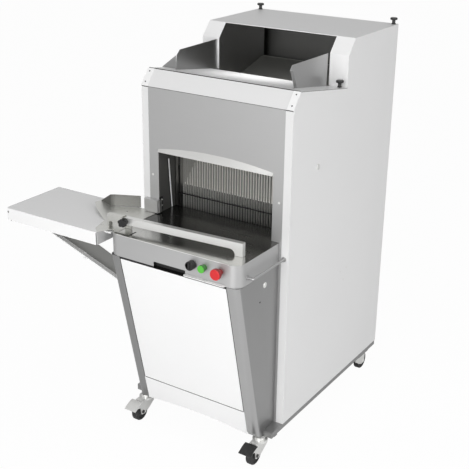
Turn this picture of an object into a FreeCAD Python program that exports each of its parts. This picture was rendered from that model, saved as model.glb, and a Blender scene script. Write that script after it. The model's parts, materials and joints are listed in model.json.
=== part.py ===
import FreeCAD, Part
import math
import os

# The bread slicer, built in the cabinet's own frame and set on its own footprint at export:
# x = 0 is the middle of the cabinet, y = 0 its front face, z = 0 the floor, +y the rear.
# All lengths are millimetres.

os.makedirs("parts", exist_ok=True)

# Sheet and general fits
sheet = 1.5
joint_gap = 0.3
panel_gap = 0.5
shaft_fit = 0.05
slot_play = 0.6

# Castors, and the base frame they carry
wheel_radius = 38.0
wheel_width = 24.0
wheel_trail = 46.0
axle_radius = 4.0
tyre_gap = 7.0
crown_sheet = 3.0
race_height = 10.0
race_radius = 20.0
castor_plate = 3.0
crown_top = 2 * wheel_radius + tyre_gap + crown_sheet
rail_bottom = crown_top + race_height + castor_plate
rail_height = 21.0
rail_top = rail_bottom + rail_height
cabinet_bottom = rail_top
fork_inner = 14.0
fork_sheet = 3.0
housing_radius = 29.0
housing_height = 8.0
pedal_pivot_reach = wheel_trail + 27.0
pedal_pivot_z = crown_top - 13.0
pedal_width = 54.0
pedal_left = -31.0
pedal_thickness = 3.0

# Widths: the slicing opening, and the cabinet and legs round it
opening_half = 248.0
side_margin = 72.0
cabinet_half_width = opening_half + side_margin
post_width = 30.0
hood_cheek_lap = 5.0
hood_cheek_inner = opening_half - hood_cheek_lap
leg_inset = 40.0
leg_outer = cabinet_half_width - leg_inset
leg_width = 48.0
leg_inner = leg_outer - leg_width
leg_corner = 24.0
leg_sheet = 2.0
leg_bottom = rail_bottom - castor_plate
leg_toe_radius = 20.0

# Heights: slanted front, apron, table, opening, fascia and top sheets, from below upwards
lean_degrees = 12.87
lean_top_y = -263.0
lean_top_z = 770.0
apron_setback = 1.0
apron_gap = 2.0
apron_height = 85.0
apron_front = lean_top_y + apron_setback
apron_bottom = lean_top_z + apron_gap
apron_corner = 38.0
apron_sheet = 2.0
table_top = apron_bottom + apron_height
opening_sill = table_top
opening_height = 241.0
opening_head = opening_sill + opening_height
visor_end_rise = 11.0
visor_middle_rise = 31.0
visor_reach = 6.0
front_panel_lap = 20.0
front_panel_bottom = lean_top_z + front_panel_lap
fascia_height = 241.0
front_top = opening_head + fascia_height
strip_back = 45.0
strip_rise = 56.0
strip_top = front_top + strip_rise
deck_gap = 4.0
deck_fall = 54.0
deck_low = strip_top - deck_fall
hood_front = 392.0
hood_step = 119.0
hood_step_top = deck_low + hood_step
hood_slope_run = 48.0
hood_slope_rise = 55.0
hood_roof_front = hood_front + hood_slope_run
hood_top = hood_step_top + hood_slope_rise
cabinet_depth = 813.0

# Reciprocating blade frames
crank_y = 135.0
crank_z = 330.0
crank_throw = 20.0
frame_thickness = 16.0
frame_gap = 14.0
front_frame_y = crank_y - (frame_thickness + frame_gap) / 2
rear_frame_y = crank_y + (frame_thickness + frame_gap) / 2
frames_front = front_frame_y - frame_thickness / 2
frames_rear = rear_frame_y + frame_thickness / 2
cheek_clearance = 10.5
cheek_depth = frames_front - cheek_clearance
cheek_rise = 12.0
wall_gap = 2.0
wall_offset = opening_half + wall_gap
frame_side_gap = 2.0
frame_side_inner = wall_offset + frame_side_gap
frame_side_width = 12.0
frame_beam_drop = 217.0
frame_beam_rise = 52.0
frame_beam_low = opening_sill - frame_beam_drop
frame_beam_low_height = 30.0
frame_beam_high = opening_head + frame_beam_rise
frame_beam_high_height = 30.0
blade_width = 11.0
blade_thickness = 0.7
blade_pitch = 23.0
blade_end_inset = 6.0
blade_side_gap = 18.0
front_blade_count = math.floor(2 * (opening_half - blade_side_gap) / blade_pitch + 0.01) + 1
rear_blade_count = front_blade_count - 1
guide_play = 0.5
guide_wall = 8.0
guide_length = 100.0
low_guide_rise = 60.0

# Hopper, throat and chute
throat_setback = 42.0
throat_front = hood_front - throat_setback
throat_drop = 57.0
throat_bend = deck_low - throat_drop
throat_gap = 10.0
throat_lap = 2.0
throat_foot = (frames_rear + throat_gap, opening_head - throat_lap)
hopper_rear_inset = 71.0
hopper_rear = cabinet_depth - hopper_rear_inset
chute_gap = 6.0
chute_lip_height = 69.0
chute_lip_drop = 35.0
chute_top = (hopper_rear - 15.0, deck_low - 3.0)
chute_knee = (hood_front + 168.0, deck_low - 51.0)
chute_bend = (hood_front + 38.0, deck_low - 161.0)
chute_end = (frames_rear + chute_gap, opening_sill + chute_lip_height)
wall_skirt = 25.0
left_wall_setback = 73.0
right_wall_setback = 76.0
wall_front_left = strip_back + left_wall_setback
wall_front_right = strip_back + right_wall_setback

# Crumb drawer in the slanted front, with the kick strip below it
panel_side_gap = 3.0
panel_half = leg_inner - panel_side_gap
panel_depth = 18.0
panel_top_drop = 6.0
kick_half = leg_inner
kick_gap = 4.0
kick_length = 109.6
kick_arch = 15.0
kick_clearance = 6.0
kick_bottom = rail_bottom + kick_clearance
slant_reach = (lean_top_z - kick_bottom) / math.cos(math.radians(lean_degrees))
panel_length = slant_reach - panel_top_drop - kick_gap - kick_length
box_side_gap = 20.0
box_half = leg_inner - box_side_gap
box_floor = 226.0
box_rim = 455.0
box_front_gap = 2.0
bulkhead_front = 50.0
box_back_gap = 5.0
box_back = bulkhead_front - box_back_gap
lug_inset = 35.0
lug_spread = 135.0
lug_height = 16.0
runner_bar_width = 12.5
runner_lip = 5.5
runner_height = 24.0
runner_bottom = 326.0
runner_front_gap = 3.6
crumb_side_gap = 3.0
crumb_half = leg_inner - crumb_side_gap
crumb_lip = 20.0
crumb_rise = 21.0
crumb_back = 235.0
crumb_back_height = 36.0

# Drawer pull notch, push buttons and the ledge under them
notch_left = -77.0
notch_right = 60.0
notch_height = 18.0
stop_inset = 74.0
stop_x = leg_outer - stop_inset
start_spacing = 65.0
start_x = stop_x - start_spacing
selector_spacing = 48.0
selector_x = start_x - selector_spacing
control_drop = 34.0
control_height = table_top - control_drop
control_body_radius = 11.0
control_bezel_radius = 15.0
selector_cap_radius = 16.5
start_cap_radius = 14.0
start_reach = 23.0
stop_cap_radius = 20.0
stop_reach = 36.0
ledge_left = selector_x - 36.0
ledge_right = stop_x + 22.0
ledge_reach = 13.0
ledge_thickness = 3.0
ledge_rise = 2.0
case_left = selector_x - 31.0
case_right = stop_x + 34.0
case_depth = 62.0
case_wall = 2.0

# Side shelf and its stay
shelf_gap = 32.0
shelf_length = 448.0
shelf_overhang = 31.0
shelf_right = -leg_outer - shelf_gap
shelf_left = shelf_right - shelf_length
shelf_front = apron_front - shelf_overhang
shelf_flange = 50.0
shelf_corner = 8.0
stay_y = -200.0
stay_sheet = 3.0
stay_foot_drop = 209.0
stay_inset = 70.0

# Bag scoop and guide bar
fence_height = 48.0
flare_slope = 0.374
bar_angle = 3.97
bar_inset = 44.0
bar_end_inset = 35.0
bar_pivot = (-leg_outer + bar_inset, -208.3)
bar_lift_gap = 23.0
bar_bottom = table_top + bar_lift_gap
bar_height = 27.0
bar_width = 20.0
bar_wall = 2.0
bar_right_length = 2 * leg_outer - bar_inset - bar_end_inset
bar_foot_width = 30.0
bar_foot_radius = 20.0
bar_screw_radius = 4.0
bar_knob_radius = 16.5
bar_knob_length = 26.0
rod_drop = 59.0
rod_spacing = 22.0
rod_reach = 205.0
rod_radius = 5.0

# Crankshaft and con-rods
crank_radius = 15.0
eccentric_wall = 5.0
eccentric_radius = crank_radius + crank_throw + eccentric_wall
eccentric_width = 12.0
strap_wall = 12.0
rod_big_radius = eccentric_radius + strap_wall
rod_eye_radius = 14.0
rod_pin_radius = 7.0
rod_clearance = 11.0
rod_pin_z = frame_beam_low - 2 * crank_throw - rod_eye_radius - rod_clearance
frame_tail = rod_pin_z - rod_eye_radius - 6.0
rod_gap = 4.0
front_rod_inner = frame_side_inner + frame_side_width + rod_gap
rear_rod_inner = frame_side_inner - rod_gap - eccentric_width
bearing_gap = 6.0
bearing_inner = front_rod_inner + eccentric_width + bearing_gap
bearing_width = 26.0
bearing_half = 30.0
crank_half_length = bearing_inner + bearing_width

# Drive
pulley_x = 150.0
pulley_width = 24.0
pulley_rim = 3.0
crank_pulley_radius = 75.0
motor_pulley_radius = 37.5
motor_y = 520.0
motor_lift = 90.0
motor_z = rail_top + motor_lift
motor_radius = 65.0
motor_length = 190.0
motor_nose = 22.0
motor_cowl = 40.0
motor_foot_half = 65.0
motor_shaft_radius = 10.0
motor_front = pulley_x - pulley_width / 2 - 16.0
belt_thickness = 4.0

# Base frame
rail_inset = 2.0
rail_outer = cabinet_half_width - rail_inset
rail_width = rail_outer - leg_outer
rail_rear = cabinet_depth - rail_inset
castor_front_x = leg_outer - 10.0
castor_front_y = -80.0
rail_front = castor_front_y + 4.0
castor_rear_x = leg_outer
castor_rear_y = cabinet_depth - 108.0
tube_width = 40.0
tube_wall = 3.0
middle_tube_y = 235.0

# Cover knobs, lock and gland
knob_cap_radius = 14.0
knob_height = 25.0
knob_inset = 15.0
knob_spread = cabinet_half_width - knob_inset
knob_rear_y = cabinet_depth - knob_inset
deck_knob_x = cabinet_half_width - 19.0
deck_knob_y = hood_front - 26.0
stud_hole_radius = 3.3
lock_y = 191.0
lock_z = opening_head - 4.0
lock_radius = 10.0
lock_reach = 4.0
gland_x = -200.0
gland_z = rail_top + 110.0
gland_reach = 15.0
gland_bore = 5.0
gland_thread = 10.0
vent_bottom = rail_top + 140.0
vent_pitch = 22.0
vent_height = 7.0

# Where the finished machine reaches, and the move that puts its footprint's middle on the origin
reach_left = shelf_left
reach_right = cabinet_half_width + lock_reach
reach_front = apron_front - stop_reach
reach_rear = cabinet_depth + gland_reach
to_row = FreeCAD.Vector(-(reach_left + reach_right) / 2, -(reach_front + reach_rear) / 2, 0)

X = FreeCAD.Vector(1, 0, 0)
Y = FreeCAD.Vector(0, 1, 0)
Z = FreeCAD.Vector(0, 0, 1)
ORIGIN = FreeCAD.Vector(0, 0, 0)


def vec(x, y, z):
    return FreeCAD.Vector(x, y, z)


def box(x0, x1, y0, y1, z0, z1):
    return Part.makeBox(x1 - x0, y1 - y0, z1 - z0, vec(x0, y0, z0))


def rod(radius, start, axis, length):
    return Part.makeCylinder(radius, length, vec(*start), axis)


def prism(points, along, length):
    """A solid with a flat outline, pushed along an axis."""
    ring = [vec(*p) for p in points]
    ring.append(ring[0])
    return Part.Face(Part.makePolygon(ring)).extrude(along * length)


def across(profile, x0, x1):
    """A side profile, given as (y, z) pairs, made into a solid from x0 to x1."""
    return prism([(x0, y, z) for y, z in profile], X, x1 - x0)


def upright(plan, z0, z1):
    """A plan outline, given as (x, y) pairs, made into a solid from z0 to z1."""
    return prism([(x, y, z0) for x, y in plan], Z, z1 - z0)


def frontal(outline, y0, y1):
    """A front outline, given as (x, z) pairs, made into a solid from y0 to y1."""
    return prism([(x, y0, z) for x, z in outline], Y, y1 - y0)


def offset_path(points, distance):
    """An open path moved to its right-hand side, mitred where it bends."""
    normals = []
    for (a0, b0), (a1, b1) in zip(points, points[1:]):
        length = math.hypot(a1 - a0, b1 - b0)
        normals.append(((b1 - b0) / length, -(a1 - a0) / length))
    moved = []
    for i, (a, b) in enumerate(points):
        before = normals[max(i - 1, 0)]
        after = normals[min(i, len(normals) - 1)]
        share = distance / (1 + before[0] * after[0] + before[1] * after[1])
        moved.append((a + share * (before[0] + after[0]), b + share * (before[1] + after[1])))
    return moved


def bent_sheet(points, thickness, x0, x1):
    """Folded sheet metal: a side path thickened to its right and run from x0 to x1."""
    return across(points + offset_path(points, thickness)[::-1], x0, x1)


def rounded_front(half, front, rear, radius, steps=10):
    """Plan outline of a tray with two rounded front corners, open end at the rear."""
    plan = [(half, rear)]
    for i in range(steps + 1):
        turn = math.radians(90.0 * i / steps)
        plan.append((half - radius + radius * math.cos(turn), front + radius - radius * math.sin(turn)))
    for i in range(steps + 1):
        turn = math.radians(90.0 * i / steps)
        plan.append((-half + radius - radius * math.sin(turn), front + radius - radius * math.cos(turn)))
    plan.append((-half, rear))
    return plan


def mirrored(shape):
    return shape.mirror(ORIGIN, X)


def lean_y(z):
    """Front of the slanted front at a height."""
    return lean_top_y + (lean_top_z - z) * math.tan(math.radians(lean_degrees))


def on_slant(shape):
    """Put a shape drawn upright (y = depth, z = height from the top line) on the slanted front."""
    moved = shape.copy()
    moved.rotate(ORIGIN, X, lean_degrees)
    moved.translate(vec(0, lean_top_y, lean_top_z))
    return moved


def fused(shapes):
    whole = shapes[0]
    for other in shapes[1:]:
        whole = whole.fuse(other)
    return whole.removeSplitter()


# Paths of the folded top sheets
top_path = [
    (0.0, front_top),
    (strip_back, strip_top),
    (hood_front, deck_low),
    (hood_front, hood_step_top),
    (hood_roof_front, hood_top),
    (cabinet_depth, hood_top),
]
top_inner = offset_path(top_path, sheet)


def deck_height(y):
    return strip_top + (y - strip_back) * (deck_low - strip_top) / (hood_front - strip_back)


def side_panel():
    climb = (top_inner[1][1] - top_inner[0][1]) / (top_inner[1][0] - top_inner[0][0])
    front_edge_top = top_inner[0][1] - climb * top_inner[0][0]
    profile = [(0.0, cabinet_bottom), (0.0, front_edge_top)] + top_inner[1:]
    profile[-1] = (cabinet_depth, top_inner[-1][1])
    profile.append((cabinet_depth, cabinet_bottom))
    skin = across(profile, cabinet_half_width - sheet, cabinet_half_width)
    flange_top = front_edge_top - 1.0
    inner = cabinet_half_width - post_width
    flange = box(inner, cabinet_half_width - sheet, 0, sheet, cabinet_bottom, flange_top)
    panel = fused([skin, flange])
    return panel


def side_panel_right():
    barrel = rod(lock_radius - 1.7, (cabinet_half_width - 5, lock_y, lock_z), X, 10)
    return side_panel().cut(barrel)


def rear_panel():
    inner = cabinet_half_width - sheet
    top = top_inner[-1][1]
    panel = box(-inner, inner, cabinet_depth - sheet, cabinet_depth, cabinet_bottom, top)
    cuts = [rod(gland_thread + shaft_fit, (gland_x, cabinet_depth - 5, gland_z), Y, 10)]
    for row in range(7):
        z = vent_bottom + vent_pitch * row
        cuts.append(box(-20.0, 180.0, cabinet_depth - 5, cabinet_depth + 5, z, z + vent_height))
    for cut in cuts:
        panel = panel.cut(cut)
    return panel


def visor():
    """Light lip over the opening: an arched crease above, a straight lower edge set forward."""
    sections = []
    count = 12
    end = opening_head + visor_end_rise
    rise = visor_middle_rise - visor_end_rise
    for i in range(count + 1):
        x = -opening_half + 2 * opening_half * i / count
        crease = end + rise * (1 - (x / opening_half) ** 2)
        ring = [vec(x, 0, crease), vec(x, -visor_reach, opening_head), vec(x, 0, opening_head)]
        sections.append(Part.makePolygon(ring + [ring[0]]))
    return Part.makeLoft(sections, True, True)


def front_panel():
    half = cabinet_half_width - post_width - 0.2
    top = top_inner[0][1] - 1.0
    panel = box(-half, half, 0, sheet, front_panel_bottom, top)
    panel = panel.cut(box(-opening_half, opening_half, -5, 5, opening_sill, opening_head))
    panel = panel.cut(box(-opening_half - 1, opening_half + 1, -5, 5, front_panel_bottom - 1, opening_sill))
    cheek = box(
        opening_half, opening_half + sheet, 0, cheek_depth, opening_sill - 2, opening_head + cheek_rise,
    )
    head = box(-opening_half, opening_half, sheet, 60.0, opening_head, opening_head + sheet)
    strip = box(leg_outer - 2, half, 0, sheet, cabinet_bottom, front_panel_bottom)
    return fused([panel, cheek, mirrored(cheek), visor(), head, strip, mirrored(strip)])


def chamfer_strip():
    half = cabinet_half_width
    return bent_sheet([top_path[0], top_path[1]], sheet, -half, half)


def corner_plates():
    """Cover plates over the ends of the slanted strip, folded down the cabinet's side."""
    proud = offset_path([(-2.0, front_top - 4.5), (strip_back + 2.0, strip_top + 1.0)], -sheet)
    low, high = offset_path([top_path[0], top_path[1]], -sheet)
    flat = across(
        [top_path[0], top_path[1], high, low], cabinet_half_width - 27.0, cabinet_half_width + sheet,
    )
    side = [low, high, (strip_back + 1.0, strip_top - 16.0), (6.0, front_top - 13.0)]
    fold = across(side, cabinet_half_width, cabinet_half_width + sheet)
    plate = fused([flat, fold])
    return Part.makeCompound([plate, mirrored(plate)])


def hood_shell():
    half = cabinet_half_width
    shell = bent_sheet(top_path[2:], sheet, -half, half)
    mouth = box(-hood_cheek_inner, hood_cheek_inner, 0, hood_roof_front, 0, hood_top + 10)
    shell = shell.cut(mouth)
    for side in (-1, 1):
        x = side * knob_spread
        shell = shell.cut(rod(stud_hole_radius, (x, knob_rear_y, hood_top - 5), Z, 10))
    return shell


def deck():
    start = (strip_back + deck_gap, deck_height(strip_back + deck_gap))
    end = (hood_front - 0.2, deck_height(hood_front - 0.2))
    outer = bent_sheet([start, end], sheet, wall_offset + sheet + 0.3, cabinet_half_width)
    bend = [start, (throat_front, deck_height(throat_front)), (throat_front, throat_bend), throat_foot]
    middle = bent_sheet(bend, sheet, -wall_offset + panel_gap, wall_offset - panel_gap)
    link_y = strip_back + 60.0
    link = bent_sheet([start, (link_y, deck_height(link_y))], sheet, -cabinet_half_width, cabinet_half_width)
    whole = fused([middle, outer, mirrored(outer), link])
    for side in (-1, 1):
        whole = whole.cut(rod(stud_hole_radius, (side * deck_knob_x, deck_knob_y, deck_low - 10), Z, 30))
    return whole


def chute():
    path = [chute_end, chute_bend, chute_knee, chute_top]
    half = wall_offset - panel_gap
    plate = bent_sheet(path, sheet, -half, half)
    lip_y, lip_z = chute_end
    lip = box(-half, half, lip_y, lip_y + sheet, lip_z - chute_lip_drop, lip_z - 0.6)
    back_y, back_z = chute_top
    back = box(-hood_cheek_inner, hood_cheek_inner, back_y, back_y + sheet, back_z - 2, back_z + 1)
    return fused([plate, lip, back])


def hopper_wall(front_edge, rear_edge):
    """Upright side of the hopper, running on under the deck and into the hood."""
    roof = hood_top - sheet - 1.0
    inside = [
        (hood_front + sheet + 1.5, hood_step_top - 3.0),
        (hood_front + 8.0, hood_step_top + 1.0),
        (hood_roof_front + 6.0, roof),
        (hopper_rear, roof),
        (hopper_rear, chute_top[1] - wall_skirt + 2.0),
        (chute_knee[0], chute_knee[1] - wall_skirt),
        (chute_bend[0], chute_bend[1] - wall_skirt),
        (chute_end[0], chute_end[1] - wall_skirt),
        (chute_end[0], throat_foot[1] + 14.0),
        (throat_front - 20.0, throat_bend - 2.0),
        (throat_front - 20.0, deck_low - 1.0),
    ]
    wall = across(front_edge + rear_edge + inside, wall_offset, wall_offset + sheet)
    slot_front = hood_front - 1
    slot = box(0, leg_outer, slot_front, slot_front + sheet + 2, deck_low - 3, hood_step_top + 3.0)
    return wall.cut(slot)


def hopper_wall_left():
    front = wall_front_left
    front_edge = [
        (front, strip_top - 23.0),
        (front, strip_top - 11.0),
        (front + 7.0, strip_top + 42.0),
        (front + 26.0, strip_top + 59.0),
        (hood_front - 1.0, hood_step_top - 3.0),
    ]
    wall = mirrored(hopper_wall(front_edge, []))
    x = -wall_offset - sheet
    edge = -cabinet_half_width + 4.0
    low = strip_top - 9.0
    gusset = frontal([(x, low + 50.0), (x, low), (edge, low)], front + 2.0, front + 2.0 + sheet)
    foot_front = front + 2.0 + sheet
    foot_rear = hood_front - 82.0
    foot_path = [(foot_front, deck_height(foot_front) + 3.4), (foot_rear, deck_height(foot_rear) + 3.4)]
    foot = bent_sheet(foot_path, -sheet, x - 12.0, x)
    return fused([wall, gusset, foot])


def hopper_wall_right():
    front = wall_front_right
    rear = hood_front - 31.0
    front_edge = [
        (front, strip_top - 23.0),
        (front, strip_top - 11.0),
        (front - 32.0, strip_top + 55.0),
        (front - 20.0, strip_top + 71.0),
        (rear, hood_step_top + 5.0),
        (rear - 3.0, deck_height(rear - 3.0) - 4.3),
        (hood_front - 4.0, deck_height(hood_front - 4.0) - 4.6),
        (hood_front - 4.0, deck_low - 11.0),
        (hood_front + 4.0, deck_low - 11.0),
    ]
    wall = hopper_wall(front_edge, [(hood_front + 4.0, hood_step_top - 3.0)])
    x = wall_offset + sheet
    low = strip_top - 9.0
    high = strip_top + 55.0
    lip = across(
        [(front, low), (front - 32.0, high), (front - 30.5, high + 0.8), (front + 1.5, low + 0.8)], x, x + 10.0,
    )
    return fused([wall, lip])


def lower_bulkhead():
    """Wall behind the drawer, with the sloping plate that throws the crumbs into it."""
    lip_y = bulkhead_front - crumb_lip
    lip_z = box_rim + crumb_rise
    back_z = frame_beam_low - crumb_back_height
    slope = (back_z - lip_z) / (crumb_back - lip_y)
    wall_top = lip_z + crumb_lip * slope - 0.3
    wall = box(-crumb_half, crumb_half, bulkhead_front, bulkhead_front + sheet, rail_top, wall_top)
    plate = bent_sheet(
        [(lip_y, lip_z), (crumb_back, back_z), (crumb_back, frame_beam_low)], sheet, -crumb_half, crumb_half,
    )
    return fused([wall, plate])


def apron():
    outer = upright(
        rounded_front(leg_outer, apron_front, -0.5, apron_corner), apron_bottom, table_top - sheet,
    )
    inner_plan = rounded_front(
        leg_outer - apron_sheet, apron_front + apron_sheet, 1.0, apron_corner - apron_sheet,
    )
    inner = upright(inner_plan, apron_bottom - 1, table_top)
    shell = outer.cut(inner)
    notch = box(
        notch_left, notch_right, apron_front - 5, apron_front + 5, apron_bottom - 1, apron_bottom + notch_height,
    )
    shell = shell.cut(notch)
    for x in (selector_x, start_x, stop_x):
        shell = shell.cut(rod(control_body_radius, (x, apron_front - 5, control_height), Y, 10))
    return shell


def leg():
    """Folded leg: leaning front face, rounded outer corner, flat side and inner return."""
    top = apron_bottom - 0.4
    height = top - leg_bottom
    climb = vec(0, -height * math.tan(math.radians(lean_degrees)), height)
    left = leg_inner - 20
    right = leg_outer + 20
    back = leg_outer

    def column(inset):
        front = lean_y(leg_bottom) + inset
        outer = leg_outer - inset
        inner = leg_inner + inset
        radius = leg_corner - inset
        middle = outer - radius
        bend = radius * math.sqrt(0.5)
        z = leg_bottom
        edges = [
            Part.makeLine(vec(inner, back, z), vec(inner, front, z)),
            Part.makeLine(vec(inner, front, z), vec(middle, front, z)),
            Part.Arc(
                vec(middle, front, z),
                vec(middle + bend, front + radius - bend, z),
                vec(outer, front + radius, z),
            ).toShape(),
            Part.makeLine(vec(outer, front + radius, z), vec(outer, back, z)),
            Part.makeLine(vec(outer, back, z), vec(inner, back, z)),
        ]
        return Part.Face(Part.Wire(edges)).extrude(climb)

    outer = column(0).common(box(left, right, 2 * lean_top_y, -panel_gap, leg_bottom, top))
    hollow = column(leg_sheet).common(
        box(left, right, 2 * lean_top_y, 10, leg_bottom + leg_sheet, top - leg_sheet),
    )
    shell = outer.cut(hollow)
    foot_y = lean_y(leg_bottom)
    toe_y = foot_y + leg_toe_radius * 1.05
    toe_z = leg_bottom + leg_toe_radius
    toe_space = box(left, right, foot_y - 40, toe_y, leg_bottom - 5, toe_z)
    roller = rod(leg_toe_radius, (left, toe_y, toe_z), X, right - left)
    inner_roller = rod(leg_toe_radius - leg_sheet, (left, toe_y, toe_z), X, right - left)
    toe = outer.common(roller).cut(inner_roller).common(toe_space)
    sides = shell.common(roller)
    shell = shell.cut(toe_space).fuse(toe)
    return shell.fuse(sides.common(toe_space)).removeSplitter()


def outfeed_table():
    plan = rounded_front(leg_outer, apron_front, -0.3, apron_corner)
    plate = upright(plan, table_top - sheet, table_top)
    half = opening_half - panel_gap
    tongue = box(-half, half, -2, frames_front - 8.0, table_top - sheet, table_top)
    plate = fused([plate, tongue])
    slots = [
        (36, 85, -13, -9),
        (116, 167, -16, -12),
        (146, 215, -74, -70),
        (221, 253, -133, -129),
        (-183, -161, 10, 14),
        (22 - leg_outer, 88 - leg_outer, apron_front + 6, apron_front + 12),
        (81 - leg_outer, 87 - leg_outer, apron_front + 12, apron_front + 54),
        (102 - leg_outer, 126 - leg_outer, apron_front + 6, apron_front + 12),
    ]
    for x0, x1, y0, y1 in slots:
        plate = plate.cut(box(x0, x1, y0, y1, table_top - 5, table_top + 5))
    return plate


def drawer_front():
    top = -panel_top_drop
    low = top - panel_length
    pan = box(-panel_half, panel_half, 0, panel_depth, low, top)
    inside = box(-panel_half + sheet, panel_half - sheet, sheet, panel_depth + 1, low + sheet, top - sheet)
    return on_slant(pan.cut(inside))


def kick_strip():
    top = -panel_top_drop - panel_length - kick_gap
    low = top - kick_length
    outline = [(kick_half, top), (-kick_half, top), (-kick_half, low)]
    steps = 16
    for i in range(1, steps):
        x = -kick_half + 2 * kick_half * i / steps
        outline.append((x, low + kick_arch * (1 - (x / kick_half) ** 2)))
    outline.append((kick_half, low))
    plate = frontal(outline, 0.5, 0.5 + sheet)
    fold = box(-kick_half, kick_half, 0.5, 14.0, top - sheet, top)
    return on_slant(fused([plate, fold]))


def runner_front():
    """Where the runners start: just behind the slanted panel at their own height."""
    return lean_y(runner_bottom) + panel_depth + runner_front_gap


def drawer_box():
    """Crumb bin behind the slanted front, hung on the front panel and on two runner bars."""
    low_front = lean_y(box_floor) + panel_depth + box_front_gap
    high_front = lean_y(box_rim) + panel_depth + box_front_gap
    outer = [(low_front, box_floor), (high_front, box_rim), (box_back, box_rim), (box_back, box_floor)]
    inner = [
        (low_front + sheet, box_floor + sheet),
        (high_front + sheet, box_rim + 1),
        (box_back - sheet, box_rim + 1),
        (box_back - sheet, box_floor + sheet),
    ]
    bin_shell = across(outer, -box_half, box_half).cut(across(inner, -box_half + sheet, box_half - sheet))
    bar_end = box_half + runner_bar_width
    bar_front = runner_front() + 2
    bar = box(box_half, bar_end, bar_front, box_back, runner_bottom, runner_bottom + runner_height)
    pieces = [bin_shell, bar, mirrored(bar)]
    tilt = math.cos(math.radians(lean_degrees))
    tilt = math.cos(math.radians(lean_degrees))
    lug_end = (panel_depth + box_front_gap + sheet / 2) * tilt
    for z in (box_floor + lug_inset, box_rim - lug_inset):
        down = (lean_top_z - z) / tilt
        for side in (-1, 1):
            x = side * lug_spread
            pieces.append(on_slant(box(x - 15.0, x + 15.0, sheet, lug_end, -down, lug_height - down)))
    return fused(pieces)


def drawer_runners():
    low = runner_bottom - slot_play
    high = runner_bottom + runner_height + slot_play
    bar_end = box_half + runner_bar_width
    inner = bar_end - runner_lip
    front = runner_front()
    rear = bulkhead_front
    channel = box(inner, leg_inner, front, rear, low - 3, high + 3)
    channel = channel.cut(box(inner - 1, bar_end + slot_play, front - 1, rear + 1, low, high))
    return Part.makeCompound([channel, mirrored(channel)])


def control_box():
    front = apron_front + apron_sheet
    low = apron_bottom + 11.0
    high = table_top - 7.0
    wall = case_wall
    case = box(case_left, case_right, front, front + case_depth, low, high)
    hollow = box(
        case_left + wall, case_right - wall, front - 1, front + case_depth - wall, low + wall, high - wall,
    )
    case = case.cut(hollow)
    ledge_low = apron_bottom + ledge_rise
    ledge_front = apron_front - ledge_reach
    ledge = box(ledge_left, ledge_right, ledge_front, apron_front, ledge_low, ledge_low + ledge_thickness)
    edges = [
        e for e in ledge.Edges
        if abs(e.BoundBox.ZLength - ledge_thickness) < 0.01 and e.BoundBox.YMin < apron_front - 1
    ]
    ledge = ledge.makeFillet(9.0, edges)
    return Part.makeCompound([case, ledge])


def selector_switch():
    x = selector_x
    front = apron_front
    back = front + 30
    shaft = rod(control_body_radius - shaft_fit, (x, front - 2, control_height), Y, 32)
    bezel = rod(control_bezel_radius, (x, front - 5, control_height), Y, 4.6)
    grip = rod(selector_cap_radius, (x, front - 24, control_height), Y, 19.5)
    bar = box(x - 4, x + 4, front - 27, front - 20, control_height - 13, control_height + 13)
    return fused([shaft, bezel, grip, bar])


def start_button():
    x = start_x
    front = apron_front
    shaft = rod(
        control_body_radius - shaft_fit, (x, front - start_reach + 7, control_height), Y, start_reach + 23,
    )
    cap = rod(start_cap_radius, (x, front - start_reach, control_height), Y, 9)
    return fused([shaft, cap])


def stop_button():
    x = stop_x
    front = apron_front
    shaft = rod(
        control_body_radius - shaft_fit, (x, front - stop_reach + 8, control_height), Y, stop_reach + 22,
    )
    rim = rod(stop_cap_radius, (x, front - stop_reach + 5, control_height), Y, 11)
    dome = rod(stop_cap_radius, (x, front - stop_reach, control_height), Y, 5)
    front_edges = [e for e in dome.Edges if abs(e.BoundBox.YMax - (front - stop_reach)) < 0.01]
    dome = dome.makeFillet(4.0, front_edges[:1])
    return fused([shaft, rim, dome])


def side_shelf():
    """Folded tray-shaped shelf, open underneath, with its hinge bar to the leg's side."""
    low = table_top - shelf_flange
    outer = box(shelf_left, shelf_right, shelf_front, -1, low, table_top)
    corners = [e for e in outer.Edges if e.BoundBox.ZLength > 40 and e.BoundBox.YMin < shelf_front + 1]
    outer = outer.makeFillet(shelf_corner, corners)
    inner = box(
        shelf_left + sheet, shelf_right - sheet, shelf_front + sheet, -1 - sheet, low - 1, table_top - sheet,
    )
    pan = outer.cut(inner)
    link = box(shelf_right, -leg_outer, -250, -20, table_top - 12, table_top - 6)
    return fused([pan, link])


def shelf_stay():
    """Raking gusset from the leg to the shelf, with a folded lower edge and a hanging eye."""
    foot = (-leg_outer, table_top - stay_foot_drop)
    tip_x = shelf_left + stay_inset
    under = table_top - shelf_flange - joint_gap
    tip = (tip_x, under - 13.7)
    web_outline = [
        foot,
        tip,
        (tip_x, under),
        (tip_x + 130.0, under),
        (-leg_outer - 100.0, under - 49.7),
        (-leg_outer - 47.0, under - 70.7),
        (-leg_outer, under - 90.7),
    ]
    web = frontal(web_outline, stay_y, stay_y + stay_sheet)
    slope = math.atan2(tip[1] - foot[1], foot[0] - tip[0])
    rise = stay_sheet / math.cos(slope)
    fold_outline = [foot, tip, (tip[0], tip[1] + rise), (foot[0], foot[1] + rise)]
    fold = frontal(fold_outline, stay_y - 18.0, stay_y)
    ear = box(tip_x, tip_x + 90.0, stay_y, stay_y + 24.0, under - stay_sheet, under)
    eye_x = -leg_outer - 166.0
    eye_z = foot[1] + (foot[0] - eye_x) * math.tan(slope) - 8.7
    eye = rod(9.0, (eye_x, stay_y - 9.0, eye_z), Y, 4.0)
    eye = eye.cut(rod(1.8, (eye_x, stay_y - 12.0, eye_z - 3), Y, 12.0))
    return fused([web, fold, ear, eye])


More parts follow.
